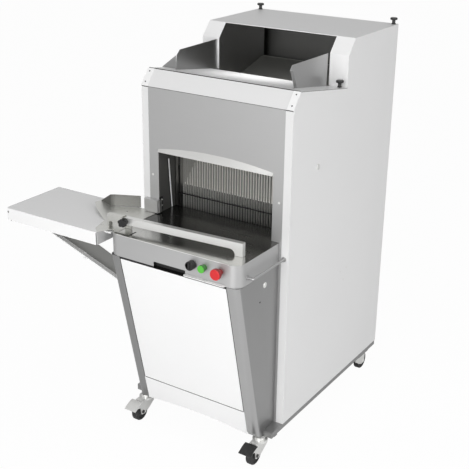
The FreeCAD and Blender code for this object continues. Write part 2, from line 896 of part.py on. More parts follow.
def shelf_posts():
    """Packers that carry the stay's ear up to the underside of the shelf."""
    tip_x = shelf_left + stay_inset
    under = table_top - shelf_flange - joint_gap
    return box(tip_x, tip_x + 90.0, stay_y, stay_y + 24.0, under, table_top - sheet)


def bag_scoop():
    """Bag plate lying on the shelf and table, with its bent fence and the bar's bracket."""
    edge = -leg_outer
    base_z = table_top
    top_z = base_z + sheet
    fold_rear = (edge - 164.0, -52.0)
    fold_front = (edge - 85.0, -184.0)
    plan = [
        (edge + 28.0, -22.0),
        (edge - 55.0, -2.0),
        fold_rear,
        fold_front,
        (edge - 62.0, apron_front + 1.0),
        (edge - 32.0, apron_front - 25.0),
        (edge - 16.0, apron_front),
        (edge - 4.0, apron_front + 22.0),
        (edge + 28.0, apron_front + 26.0),
    ]
    plate = upright(plan, base_z, top_z)
    plate = plate.cut(box(edge - 76, edge - 54, -226, -222, base_z - 1, top_z + 1))
    plate = plate.cut(rod(4.0, (edge - 73, -68, base_z - 1), Z, 5))
    high = base_z + fence_height
    fence_path = [(edge - 58.0, 2.0), (edge - 150.0, -41.0), fold_rear]
    rim = fence_path + offset_path(fence_path, -sheet)[::-1]
    low = top_z - 0.2
    fence = upright(rim, low, high)
    fold_x = fold_front[0] - fold_rear[0]
    fold_y = fold_front[1] - fold_rear[1]
    fold_run = math.hypot(fold_x, fold_y)

    def on_flare(x, y):
        """A point of the turned-up corner, above its place in plan."""
        away = ((x - fold_rear[0]) * fold_y - (y - fold_rear[1]) * fold_x) / fold_run
        return (x, y, base_z + away * flare_slope)

    flare_corner = on_flare(edge - 210.0, -55.0)
    flare_plan = [
        (*fold_rear, base_z), flare_corner, on_flare(edge - 204.0, -97.0), on_flare(edge - 160.0, -139.0),
    ]
    flare = prism(flare_plan + [(*fold_front, base_z)], Z, sheet)
    inner_x, inner_y = offset_path(fence_path, -sheet)[-1]
    point = prism(
        [(*fold_rear, low), (*fold_rear, high), flare_corner], vec(inner_x, inner_y, 0) - vec(*fold_rear, 0), 1.0,
    )
    x, y = bar_pivot
    half = bar_width / 2
    bracket_left = x - 81.0
    bracket = box(bracket_left, x - 16.0, y - half, y + half, bar_bottom, bar_bottom + bar_height)
    left_foot = box(bracket_left, bracket_left + 8.0, y - half, y + half, low, bar_bottom)
    left_foot = left_foot.fuse(bracket)
    left_foot.rotate(vec(x, y, 0), Z, bar_angle)
    ear = box(x - 18.0, x + 12.0, y + half + joint_gap, y + half + 4, low, bar_bottom + bar_height)
    pin = rod(bar_screw_radius, (x, y + 2.0, bar_bottom + bar_height / 2), Y, half + 1.0)
    ear = ear.fuse(pin)
    ear.rotate(vec(x, y, 0), Z, bar_angle)
    return fused([plate, fence, flare, point, left_foot, ear])


def scoop_mount():
    """Bracket on the front panel that the scoop's plate is screwed to."""
    x0 = -opening_half - 57.0
    x1 = -opening_half + 6.0
    z0 = table_top + 3.0
    z1 = z0 + 50.0
    block = box(x0, x1, -20, -0.2, z0, z1)
    block = block.cut(box(x0 + sheet, x1 + 2, -20 + sheet, 0, z0 + sheet, z1 - sheet))
    foot = box(x0 + 10, x1 - 18, -18, -3, table_top + sheet, z0)
    strap = box(x1, x1 + 6.0, -16, -0.2, z0 + 2, z1 - 2)
    return fused([block, foot, strap])


def bar_frame(shape):
    """Turn a piece drawn along x at the pivot to the bar's own direction."""
    turned = shape.copy()
    turned.rotate(vec(bar_pivot[0], bar_pivot[1], 0), Z, bar_angle)
    return turned


def guide_bar():
    x, y = bar_pivot
    middle = bar_bottom + bar_height / 2
    right = x + bar_right_length
    half = bar_width / 2
    foot_z = table_top + joint_gap
    beam = box(x, right, y - half, y + half, bar_bottom, bar_bottom + bar_height)
    head = rod(bar_height / 2, (x, y - half, middle), Y, bar_width)
    foot = box(right - bar_foot_width, right, y - half, y + half, foot_z, bar_bottom + 1)
    corner_x = right - bar_foot_width
    radius = bar_foot_radius
    fillet = box(corner_x - radius, corner_x, y - half, y + half, foot_z + 3, bar_bottom + 1)
    curve = rod(radius, (corner_x - radius, y - half - 1, foot_z + 2.2), Y, bar_width + 2)
    fillet = fillet.cut(curve)
    wall = bar_wall
    top = bar_bottom + bar_height
    hollow = box(x + 24, corner_x - radius - 10, y - half + wall, y + half - wall, bar_bottom - 1, top - wall)
    bar = fused([beam.cut(hollow), head, foot, fillet])
    bar = bar.cut(rod(bar_screw_radius + shaft_fit, (x, y - 50, middle), Y, 100))
    return bar_frame(bar)


def bar_knob():
    x, y = bar_pivot
    half = bar_width / 2
    middle = bar_bottom + bar_height / 2
    front = y - half - joint_gap
    body = rod(bar_knob_radius * 0.72, (x, front - bar_knob_length, middle), Y, bar_knob_length)
    lobes = [body]
    for i in range(5):
        turn = math.radians(72 * i + 18)
        reach = bar_knob_radius * 0.58
        lobe_x = x + reach * math.cos(turn)
        lobe_z = middle + reach * math.sin(turn)
        lobes.append(
            rod(bar_knob_radius * 0.42, (lobe_x, front - bar_knob_length, lobe_z), Y, bar_knob_length * 0.6),
        )
    screw = rod(bar_screw_radius, (x, front - 1, middle), Y, half + 1.0)
    return bar_frame(fused(lobes + [screw]))


def side_rod():
    """Towel-rail style rod from the leg's side to the cabinet's front flange."""
    x = leg_outer + rod_spacing
    z = table_top - rod_drop
    front = -rod_reach
    radius = rod_radius
    run = rod(radius, (x, front, z), Y, -front)
    bend = Part.makeSphere(radius, vec(x, front, z))
    stub = rod(radius, (leg_outer, front, z), X, x - leg_outer)
    ring = rod(9.0, (x, -4.0, z), Y, 4.0)
    seat = rod(9.0, (leg_outer, front, z), X, 3.0)
    return fused([run, bend, stub, ring, seat])


def blade_frame(centre_y, pin_inner, pin_outer):
    half = frame_thickness / 2
    y0 = centre_y - half
    y1 = centre_y + half
    top = frame_beam_high + frame_beam_high_height
    side = box(frame_side_inner, frame_side_inner + frame_side_width, y0, y1, frame_tail, top)
    pin = rod(rod_pin_radius, (pin_inner, centre_y, rod_pin_z), X, pin_outer - pin_inner)
    low = box(
        -frame_side_inner, frame_side_inner, y0, y1, frame_beam_low, frame_beam_low + frame_beam_low_height,
    )
    high = box(-frame_side_inner, frame_side_inner, y0, y1, frame_beam_high, top)
    return fused([side, mirrored(side), low, high, pin, mirrored(pin)])


def blade_set(beam_face, count):
    """Blades of one frame, all in the plane between the frames, hooked on their own beams' faces."""
    blades = []
    low = frame_beam_low + blade_end_inset
    high = frame_beam_high + frame_beam_high_height - blade_end_inset
    y0 = crank_y - blade_width / 2
    y1 = crank_y + blade_width / 2
    near = min(beam_face, y0)
    far = max(beam_face, y1)
    hook = frame_beam_low_height - 2 * blade_end_inset
    first = -blade_pitch * (count - 1) / 2
    for i in range(count):
        left = first + blade_pitch * i - blade_thickness / 2
        right = left + blade_thickness
        strip = box(left, right, y0, y1, low, high)
        low_hook = box(left, right, near, far, low, low + hook)
        high_hook = box(left, right, near, far, high - hook, high)
        blades.append(fused([strip, low_hook, high_hook]))
    return Part.makeCompound(blades)


def frame_guides():
    """Four slideways that hold both frames' sides, two at each side of the throat."""
    inner = frame_side_inner
    outer = frame_side_inner + frame_side_width + guide_play
    front_y = frames_front
    rear_y = frames_rear
    low = frame_beam_low + low_guide_rise
    high = opening_head + cheek_rise
    blocks = []
    for z0, z1 in ((low, low + guide_length), (high - guide_length, high)):
        web = box(outer, outer + guide_wall, front_y - 10, rear_y + 10, z0, z1)
        front = box(inner, outer, front_y - guide_wall, front_y - guide_play, z0, z1)
        rear = box(inner, outer, rear_y + guide_play, rear_y + 10, z0, z1)
        rib_front = front_frame_y + frame_thickness / 2 + guide_play
        rib_rear = rear_frame_y - frame_thickness / 2 - guide_play
        rib = box(inner, outer, rib_front, rib_rear, z0, z1)
        arm = box(outer + guide_wall, cabinet_half_width - sheet, front_y + 4, rear_y - 4, z0 + 30, z1 - 30)
        block = fused([web, front, rear, rib, arm])
        blocks += [block, mirrored(block)]
    return Part.makeCompound(blocks)


def crankshaft():
    shaft = rod(crank_radius, (-crank_half_length, crank_y, crank_z), X, 2 * crank_half_length)
    pieces = [shaft]
    for inner, offset in ((front_rod_inner, -crank_throw), (rear_rod_inner, crank_throw)):
        disc = rod(eccentric_radius, (inner, crank_y + offset, crank_z), X, eccentric_width)
        pieces += [disc, mirrored(disc)]
    pulley = rod(crank_pulley_radius, (pulley_x - pulley_width / 2, crank_y, crank_z), X, pulley_width)
    start = pulley_x - pulley_width / 2
    rim = rod(crank_pulley_radius + pulley_rim, (start, crank_y, crank_z), X, pulley_rim)
    far_rim = rim.copy()
    far_rim.translate(X * (pulley_width - pulley_rim))
    return fused(pieces + [pulley, rim, far_rim])


def bearing_blocks():
    half = bearing_half
    block = box(
        bearing_inner, crank_half_length, crank_y - half, crank_y + half, crank_z - half, crank_z + half,
    )
    block = block.cut(
        rod(crank_radius + shaft_fit, (bearing_inner - 5, crank_y, crank_z), X, bearing_width + 10),
    )
    return Part.makeCompound([block, mirrored(block)])


def con_rods(inner, throw_y, pin_y):
    """Pair of con-rods, each a strap round its eccentric and an eye by the frame's pin."""
    width = eccentric_width
    strap = rod(rod_big_radius, (inner, throw_y, crank_z), X, width)
    eye = rod(rod_eye_radius, (inner, pin_y, rod_pin_z), X, width)
    shank = across(
        [(throw_y - 12, crank_z), (throw_y + 12, crank_z), (pin_y + 9, rod_pin_z), (pin_y - 9, rod_pin_z)],
        inner + 1.0,
        inner + width - 1.0,
    )
    whole = fused([strap, eye, shank])
    whole = whole.cut(rod(eccentric_radius + shaft_fit, (inner - 5, throw_y, crank_z), X, width + 10))
    whole = whole.cut(rod(rod_pin_radius + 0.3, (inner - 5, pin_y, rod_pin_z), X, width + 10))
    return Part.makeCompound([whole, mirrored(whole)])


def motor():
    y = motor_y
    z = motor_z
    radius = motor_radius
    front = motor_front
    rear = front - motor_nose - motor_length
    middle = rear + motor_length / 2
    foot = motor_foot_half
    neck_half = foot - 10.0
    body = rod(radius, (rear, y, z), X, motor_length)
    cowl = rod(radius + 4, (rear - motor_cowl, y, z), X, motor_cowl + 2)
    nose = rod(radius - 20, (front - motor_nose, y, z), X, motor_nose)
    base = box(middle - foot, middle + foot, y - radius - 5, y + radius + 5, rail_top, rail_top + 8)
    neck = box(middle - neck_half, middle + neck_half, y - 40, y + 40, rail_top + 6, z)
    terminal = box(middle - 45, middle + 25, y - 35, y + 35, z + radius - 6, z + radius + 34)
    whole = fused([body, cowl, nose, base, neck, terminal])
    return whole.cut(rod(motor_shaft_radius + shaft_fit, (front - 62, y, z), X, 80))


def motor_pulley():
    x0 = pulley_x - pulley_width / 2
    drum = rod(motor_pulley_radius, (x0, motor_y, motor_z), X, pulley_width)
    rim = rod(motor_pulley_radius + pulley_rim, (x0, motor_y, motor_z), X, pulley_rim)
    far_rim = rim.copy()
    far_rim.translate(X * (pulley_width - pulley_rim))
    shaft_start = motor_front - 60.0
    shaft = rod(motor_shaft_radius, (shaft_start, motor_y, motor_z), X, x0 + pulley_width + 4 - shaft_start)
    return fused([drum, rim, far_rim, shaft])


def belt_outline(extra):
    """Outside or inside line of the belt round both pulleys, as a filled plan in the YZ plane."""
    large = crank_pulley_radius + joint_gap + extra
    small = motor_pulley_radius + joint_gap + extra
    dy = motor_y - crank_y
    dz = motor_z - crank_z
    span = math.hypot(dy, dz)
    heading = math.atan2(dz, dy)
    spread = math.acos((large - small) / span)
    outline = []
    steps = 36
    for i in range(steps + 1):
        turn = heading + spread + (2 * math.pi - 2 * spread) * i / steps
        outline.append((crank_y + large * math.cos(turn), crank_z + large * math.sin(turn)))
    for i in range(steps + 1):
        turn = heading - spread + 2 * spread * i / steps
        outline.append((motor_y + small * math.cos(turn), motor_z + small * math.sin(turn)))
    return outline


def drive_belt():
    half = pulley_width / 2 - pulley_rim - joint_gap
    outer = across(belt_outline(belt_thickness), pulley_x - half, pulley_x + half)
    inner = across(belt_outline(0.6), pulley_x - half - 1, pulley_x + half + 1)
    return outer.cut(inner)


def tube(x0, x1, y0, y1, z0, z1, along, wall=tube_wall):
    """Hollow rectangular tube, open at the ends that face along the given axis."""
    outer = box(x0, x1, y0, y1, z0, z1)
    if along == "x":
        return outer.cut(box(x0 - 1, x1 + 1, y0 + wall, y1 - wall, z0 + wall, z1 - wall))
    if along == "y":
        return outer.cut(box(x0 + wall, x1 - wall, y0 - 1, y1 + 1, z0 + wall, z1 - wall))
    return outer.cut(box(x0 + wall, x1 - wall, y0 + wall, y1 - wall, z0 - 1, z1 + 1))


def base_frame():
    inner = rail_outer - rail_width
    rail = box(inner, rail_outer, rail_front, rail_rear, rail_bottom, rail_top)
    rail = rail.cut(
        box(inner + 2, rail_outer - 2, rail_front + 2, rail_rear + 1, rail_bottom + 2, rail_top - 2),
    )
    pieces = [rail, mirrored(rail)]
    wide = tube_width
    pieces.append(tube(-leg_inner, leg_inner, rail_front, rail_front + wide, rail_bottom, rail_top, "x"))
    for y0 in (middle_tube_y, motor_y - 2 * wide, motor_y + wide, rail_rear - wide):
        pieces.append(tube(-inner, inner, y0, y0 + wide, rail_bottom, rail_top, "x"))
    post_top = crank_z - bearing_half
    post = tube(bearing_inner, bearing_inner + 30, crank_y - 15, crank_y + 15, rail_top, post_top, "z")
    pieces += [post, mirrored(post)]
    low = rail_bottom - castor_plate
    strap_front = castor_front_y + race_radius + 4
    strap_rear = rail_front + wide
    front = box(leg_outer + 0.3, rail_outer, rail_front, strap_rear, low, rail_bottom)
    rear = box(
        castor_rear_x - 40, castor_rear_x + 38, castor_rear_y - 45, castor_rear_y + 45, low, rail_bottom,
    )
    strap = box(leg_inner - 10, rail_outer, strap_front, strap_rear, low - castor_plate, low)
    lug = box(leg_inner - 10, leg_inner - 0.3, strap_front, strap_rear, low, rail_bottom)
    pieces += [front, mirrored(front), rear, mirrored(rear)]
    pieces += [strap, mirrored(strap), lug, mirrored(lug)]
    return fused(pieces)


def castor_fork(rigid):
    """Fork drawn at the origin, trailing toward +x with the wheel's axle along y."""
    top = rail_bottom - castor_plate
    if not rigid:
        top -= joint_gap
    crown_z = crown_top
    race = rod(race_radius, (0, 0, crown_z), Z, top - crown_z)
    housing = rod(housing_radius, (0, 0, crown_z - housing_height), Z, housing_height)
    half = fork_inner + fork_sheet
    crown_front = wheel_trail + 14
    if not rigid:
        crown_front = wheel_trail + 4
    crown = box(-housing_radius, crown_front, -half, half, crown_z - crown_sheet, crown_z + 0.5)
    low = wheel_radius - 11.0
    rear_edge = [
        (wheel_trail + 10, low + 3),
        (wheel_trail + 4, low),
        (wheel_trail - 10, low - 2),
        (wheel_trail - 24, low + 3),
        (wheel_trail - 42, low + 12),
        (wheel_trail - 58, low + 23),
        (3 - housing_radius, low + 31),
        (-housing_radius, low + 40),
    ]
    front_edge = [(-housing_radius, crown_z), (wheel_trail + 14, crown_z), (wheel_trail + 14, crown_z - 26)]
    if not rigid:
        front_edge = [
            (-housing_radius, crown_z),
            (crown_front, crown_z),
            (crown_front + 4, crown_z - 6),
            (pedal_pivot_reach - 4, pedal_pivot_z + 4),
            (pedal_pivot_reach + 3, pedal_pivot_z + 3.2),
            (pedal_pivot_reach + 6, pedal_pivot_z - 0.5),
            (pedal_pivot_reach + 6, pedal_pivot_z - 6),
            (pedal_pivot_reach - 1, pedal_pivot_z - 9.5),
            (wheel_trail + 14, crown_z - 26),
        ]
    outline = [(x, -half, z) for x, z in front_edge + rear_edge]
    cheek = prism(outline, Y, fork_sheet)
    cheek = cheek.cut(rod(3.0, (wheel_trail - 20, -half - 1, wheel_radius - 5), Y, fork_sheet + 2))
    far = cheek.copy()
    far.translate(vec(0, 2 * fork_inner + fork_sheet, 0))
    axle = rod(axle_radius, (wheel_trail, -half - 3, wheel_radius), Y, 2 * (half + 3))
    pieces = [race, housing, crown, cheek, far, axle]
    for y in (-half - 3, half):
        pieces.append(rod(7.0, (wheel_trail, y, wheel_radius), Y, 3))
    if not rigid:
        pin = rod(2.5, (pedal_pivot_reach, -half, pedal_pivot_z), Y, 2 * half)
        pieces.append(pin)
    return fused(pieces)


def castor_wheel():
    half = wheel_width / 2
    tread = rod(wheel_radius, (wheel_trail, -half, wheel_radius), Y, wheel_width)
    edges = [e for e in tread.Edges if e.BoundBox.XLength > 60 and e.BoundBox.YLength < 1]
    tread = tread.makeFillet(4.0, edges)
    hub = rod(12.0, (wheel_trail, -half - 1.5, wheel_radius), Y, wheel_width + 3)
    recess = rod(wheel_radius - 10, (wheel_trail, -half, wheel_radius), Y, 3)
    recess = recess.cut(rod(14.0, (wheel_trail, -half, wheel_radius), Y, 3))
    far = recess.copy()
    far.translate(vec(0, wheel_width - 3, 0))
    wheel = tread.cut(recess).cut(far).fuse(hub)
    return wheel.cut(rod(axle_radius + shaft_fit, (wheel_trail, -50, wheel_radius), Y, 100)).removeSplitter()


def brake_pedal():
    """Brake lever on the fork's pin: a cam barrel between the cheeks and a broad foot plate."""
    x = pedal_pivot_reach
    z = pedal_pivot_z
    barrel_half = fork_inner - joint_gap
    barrel = rod(4.3, (x, -barrel_half, z), Y, 2 * barrel_half)
    arm_half = fork_inner - 3.0
    arm_side = [(x - 3, z), (x - 3, z + 8), (x + 6, z + 6), (x + 4, z)]
    arm = prism([(a, -arm_half, b) for a, b in arm_side], Y, 2 * arm_half)
    pad_top = [(x - 19, z + 13), (x - 5, z + 10.5), (x + 5, z + 6.8), (x + 31, z - 6.5)]
    pad_under = offset_path(pad_top, pedal_thickness)
    plate = prism([(a, pedal_left, b) for a, b in pad_top + pad_under[::-1]], Y, pedal_width)
    pedal = fused([barrel, arm, plate])
    return pedal.cut(rod(2.5 + shaft_fit, (x, -50, z), Y, 100))


def placed_castor(shape, x, y, turn):
    moved = shape.copy()
    moved.rotate(ORIGIN, Z, turn)
    moved.translate(vec(x, y, 0))
    return moved


def cover_knob(x, y, z):
    base = z + joint_gap
    stem = rod(6.5, (x, y, base), Z, knob_height - 8)
    skirt = Part.makeCone(9.5, 6.5, 5, vec(x, y, base), Z)
    cap = rod(knob_cap_radius, (x, y, z + knob_height - 8.5), Z, 8.5)
    rims = [e for e in cap.Edges if e.BoundBox.ZLength < 0.01]
    cap = cap.makeFillet(2.5, rims)
    stud = rod(3.0, (x, y, z - 12), Z, 14)
    return fused([stem, skirt, cap, stud])


def side_lock():
    x = cabinet_half_width
    head = rod(lock_radius, (x + joint_gap, lock_y, lock_z), X, lock_reach - joint_gap)
    slot = box(x + lock_reach - 1.5, x + lock_reach + 1, lock_y - 1, lock_y + 1, lock_z - 6, lock_z + 6)
    barrel = rod(lock_radius - 2.0, (x - 18, lock_y, lock_z), X, 19)
    cam = box(x - 18, x - 15, lock_y - 7, lock_y + 7, lock_z - 9, lock_z + 30)
    return fused([head.cut(slot), barrel, cam])


def cable_gland():
    y = cabinet_depth
    start = (gland_x, y, gland_z)
    nut = rod(15.0, start, Y, 7.0)
    dome = rod(12.0, (gland_x, y + 7, gland_z), Y, gland_reach - 7)
    thread = rod(gland_thread, (gland_x, y - 9, gland_z), Y, 9.5)
    back = rod(14.0, (gland_x, y - sheet - 4, gland_z), Y, 4.0)
    return fused([nut, dome, thread, back]).cut(rod(gland_bore, (gland_x, y - 20, gland_z), Y, 60))


def screw_head(x, y, z, axis, radius=4.5, height=1.6):
    return Part.makeCylinder(radius, height, vec(x, y, z), axis)


def panel_screws():
    """Heads of the front panel's, opening's, corner plates' and side panel's screws."""
    heads = []
    post_x = opening_half + 27.0
    for x in (-post_x, post_x):
        heads.append(screw_head(x, 0, opening_sill + 148.0, Y * -1))
    inner_x = -opening_half
    for z in (opening_sill + 25.0, opening_sill + 45.0):
        heads.append(screw_head(inner_x, 16.5, z, X, 4.0))
        heads.append(screw_head(-inner_x, 16.5, z, X * -1, 4.0))
    for y, z in ((471.0, 600.0), (419.0, 600.0), (450.0, 555.0)):
        heads.append(screw_head(cabinet_half_width, y, z, X, 3.0, 1.2))
        heads.append(screw_head(-cabinet_half_width, y, z, X * -1, 3.0, 1.2))
    slope = math.atan2(strip_top - front_top, strip_back)
    normal = vec(0, -math.sin(slope), math.cos(slope))
    for share in (0.22, 0.82):
        y = strip_back * share - sheet * math.sin(slope)
        z = front_top + (strip_top - front_top) * share + sheet * math.cos(slope)
        for x in (-cabinet_half_width + 12.0, cabinet_half_width - 12.0):
            heads.append(screw_head(x, y, z, normal, 2.6, 1.0))
    return Part.makeCompound(heads)


def export(name, shape):
    moved = shape.copy()
    moved.translate(to_row)
    moved.exportStep("parts/" + name + ".step")
    solids = moved.Solids
    box_now = moved.BoundBox
    valid = moved.isValid()
    print(name, len(solids), "ok" if valid else "BAD", round(box_now.XMin, 1), round(box_now.XMax, 1),
          round(box_now.YMin, 1), round(box_now.YMax, 1), round(box_now.ZMin, 1), round(box_now.ZMax, 1))


export("base_frame", base_frame())
export("side_panel_left", mirrored(side_panel()))
export("side_panel_right", side_panel_right())
export("rear_panel", rear_panel())
export("front_panel", front_panel())
export("chamfer_strip", chamfer_strip())
export("corner_plates", corner_plates())
export("hood_shell", hood_shell())
export("deck", deck())
export("chute", chute())
export("hopper_wall_left", hopper_wall_left())
export("hopper_wall_right", hopper_wall_right())
export("lower_bulkhead", lower_bulkhead())
export("apron", apron())
export("leg_left", mirrored(leg()))
export("leg_right", leg())
export("outfeed_table", outfeed_table())
export("kick_strip", kick_strip())
export("drawer_front", drawer_front())
export("drawer_box", drawer_box())
export("drawer_runners", drawer_runners())
export("control_box", control_box())
export("selector_switch", selector_switch())
export("start_button", start_button())
export("stop_button", stop_button())
export("side_shelf", side_shelf())
export("shelf_stay", fused([shelf_stay(), shelf_posts()]))
export("bag_scoop", bag_scoop())
export("scoop_mount", scoop_mount())
export("guide_bar", guide_bar())
export("bar_knob", bar_knob())
export("side_rod", side_rod())
export(
    "blade_frame_front", blade_frame(front_frame_y, frame_side_inner + frame_side_width, front_rod_inner - joint_gap),
)
export("blades_front", blade_set(front_frame_y + frame_thickness / 2, front_blade_count))
rear_pin_start = rear_rod_inner + eccentric_width + joint_gap
export("blade_frame_rear", blade_frame(rear_frame_y, rear_pin_start, frame_side_inner))
export("blades_rear", blade_set(rear_frame_y - frame_thickness / 2, rear_blade_count))
export("frame_guides", frame_guides())
export("crankshaft", crankshaft())
export("bearing_blocks", bearing_blocks())
export("con_rods_front", con_rods(front_rod_inner, crank_y - crank_throw, front_frame_y))
export("con_rods_rear", con_rods(rear_rod_inner, crank_y + crank_throw, rear_frame_y))
export("motor", motor())
export("motor_pulley", motor_pulley())
export("drive_belt", drive_belt())
for name, side in (("left", -1), ("right", 1)):
    x = side * castor_front_x
    export("fork_front_" + name, placed_castor(castor_fork(False), x, castor_front_y, -90))
    export("wheel_front_" + name, placed_castor(castor_wheel(), x, castor_front_y, -90))
    export("brake_pedal_" + name, placed_castor(brake_pedal(), x, castor_front_y, -90))
    export("wheel_rear_" + name, placed_castor(castor_wheel(), side * castor_rear_x, castor_rear_y, 90))
rear_forks = [placed_castor(castor_fork(True), side * castor_rear_x, castor_rear_y, 90) for side in (-1, 1)]
export("forks_rear", Part.makeCompound(rear_forks))
export("cover_knob_rear_left", cover_knob(-knob_spread, knob_rear_y, hood_top))
export("cover_knob_rear_right", cover_knob(knob_spread, knob_rear_y, hood_top))
export("cover_knob_front_left", cover_knob(-deck_knob_x, deck_knob_y, deck_height(deck_knob_y) + 2.0))
export("cover_knob_front_right", cover_knob(deck_knob_x, deck_knob_y, deck_height(deck_knob_y) + 2.0))
export("side_lock", side_lock())
export("cable_gland", cable_gland())
export("panel_screws", panel_screws())
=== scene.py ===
# %% [markdown]
# # A bread slicer in Blender
# The machine is a floor-standing bakery bread slicer made of folded stainless sheet.
# Its frame comes from the CAD model, so every piece already sits where it belongs.
# This lesson gives it its finishes, its light, its camera and the small parts that CAD leaves out.

import json
import math

import bmesh
import bpy
import numpy as np
from mathutils import Matrix, Vector


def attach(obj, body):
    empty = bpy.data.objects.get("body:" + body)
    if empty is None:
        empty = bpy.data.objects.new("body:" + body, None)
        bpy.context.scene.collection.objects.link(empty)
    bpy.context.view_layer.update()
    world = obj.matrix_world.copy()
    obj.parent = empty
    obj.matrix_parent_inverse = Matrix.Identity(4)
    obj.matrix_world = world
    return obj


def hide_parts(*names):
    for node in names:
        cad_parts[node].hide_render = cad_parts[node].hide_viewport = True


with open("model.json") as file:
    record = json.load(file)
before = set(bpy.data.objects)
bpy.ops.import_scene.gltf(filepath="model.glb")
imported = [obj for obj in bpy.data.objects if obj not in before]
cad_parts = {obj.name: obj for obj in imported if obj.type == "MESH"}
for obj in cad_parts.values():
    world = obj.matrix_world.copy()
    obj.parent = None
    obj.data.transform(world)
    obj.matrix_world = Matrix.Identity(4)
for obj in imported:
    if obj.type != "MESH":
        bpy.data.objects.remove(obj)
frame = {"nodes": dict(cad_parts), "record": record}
NODES = frame["nodes"]
BODIES = frame["record"]["behaviour"]["bodies"]
BODY_OF = {node: body for body, members in BODIES.items() for node in members}
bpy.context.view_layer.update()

# %% [markdown]
# ## Where things are
# The makers of such a machine measure from the middle of the cabinet and from its front face.
# The row frame starts at the middle of the footprint, so one small function turns
# cabinet millimetres into row metres. Every number below can then be read off the machine.

# %% Cabinet millimetres to row metres
TO_ROW = (218.0, -265.0, 0.0)


def row(points):
    """Cabinet millimetres to row metres: add the footprint's shift, divide by a thousand."""
    return (np.asarray(points, float) + TO_ROW) / 1000.0


print("cabinet front middle is at", row([0, 0, 0]))

# %% [markdown]
# ## The camera
# The photograph was taken from the right-hand front, well above the table.
# Its place and lens were worked out from the straight edges of the cabinet:
# the two side panels, the deck, the table and the slanted front meet in three vanishing points.

# %% Camera
AZIMUTH = math.radians(32.798)
ELEVATION = math.radians(22.079)
ROLL = math.radians(0.718)
LENS_MM = 73.27

forward = Vector((
    -math.sin(AZIMUTH) * math.cos(ELEVATION),
    math.cos(AZIMUTH) * math.cos(ELEVATION),
    -math.sin(ELEVATION),
))
level = Vector((math.cos(AZIMUTH), math.sin(AZIMUTH), 0.0))
upward = level.cross(forward)
right = level * math.cos(ROLL) + upward * math.sin(ROLL)
up = upward * math.cos(ROLL) - level * math.sin(ROLL)

lens = bpy.data.cameras.new("lens")
lens.sensor_width = 36.0
lens.sensor_fit = "HORIZONTAL"
lens.lens = LENS_MM
lens.clip_end = 60.0
camera = bpy.data.objects.new("camera", lens)
bpy.context.scene.collection.objects.link(camera)
turn = Matrix((right, up, -forward)).transposed().to_4x4()
camera.matrix_world = Matrix.Translation(Vector(row([1831.6, -2698.9, 2147.3]))) @ turn
bpy.context.scene.camera = camera
bpy.context.scene.view_settings.view_transform = "Standard"
print("camera stands at", camera.location)

# %% [markdown]
# ## Small helpers for materials
# Colours are written as sRGB hex, as a paint chip or a colour picker gives them, and Blender
# wants them linear. A material is a small network, so one helper adds a node, sets its values
# and plugs its links in.

# %% Colour and node helpers
def linear(hex_colour):
    """sRGB hex to linear RGBA: each channel c becomes c/12.92, or ((c+0.055)/1.055)^2.4 when it is bright."""
    out = []
    for i in (1, 3, 5):
        c = int(hex_colour[i:i + 2], 16) / 255.0
        out.append(c / 12.92 if c <= 0.04045 else ((c + 0.055) / 1.055) ** 2.4)
    return (*out, 1.0)


def add(tree, kind, values=None, links=None, **settings):
    """Adds one node: settings are its properties, values its socket values, links {socket: output}."""
    node = tree.nodes.new(kind)
    for key, value in settings.items():
        setattr(node, key, value)
    for key, value in (values or {}).items():
        node.inputs[key].default_value = value
    for key, output in (links or {}).items():
        tree.links.new(output, node.inputs[key])
    return node


def material(name):
    """An empty node material with its Principled shader already plugged in."""
    mat = bpy.data.materials.new(name)
    mat.use_nodes = True
    tree = mat.node_tree
    tree.nodes.clear()
    shader = add(tree, "ShaderNodeBsdfPrincipled")
    add(tree, "ShaderNodeOutputMaterial", links={"Surface": shader.outputs["BSDF"]})
    return mat, tree, shader


# %% [markdown]
# ## Brushed stainless steel
# AISI 304 sheet is sold with a brushed face: a belt leaves scratches a tenth of a millimetre wide
# and many centimetres long, all one way. To the eye this gives a soft grey with a faint streak
# along the belt. The scratches are too fine for the picture, so the streaks are drawn
# about a millimetre wide. The same recipe, turned and polished, makes all the steel here.

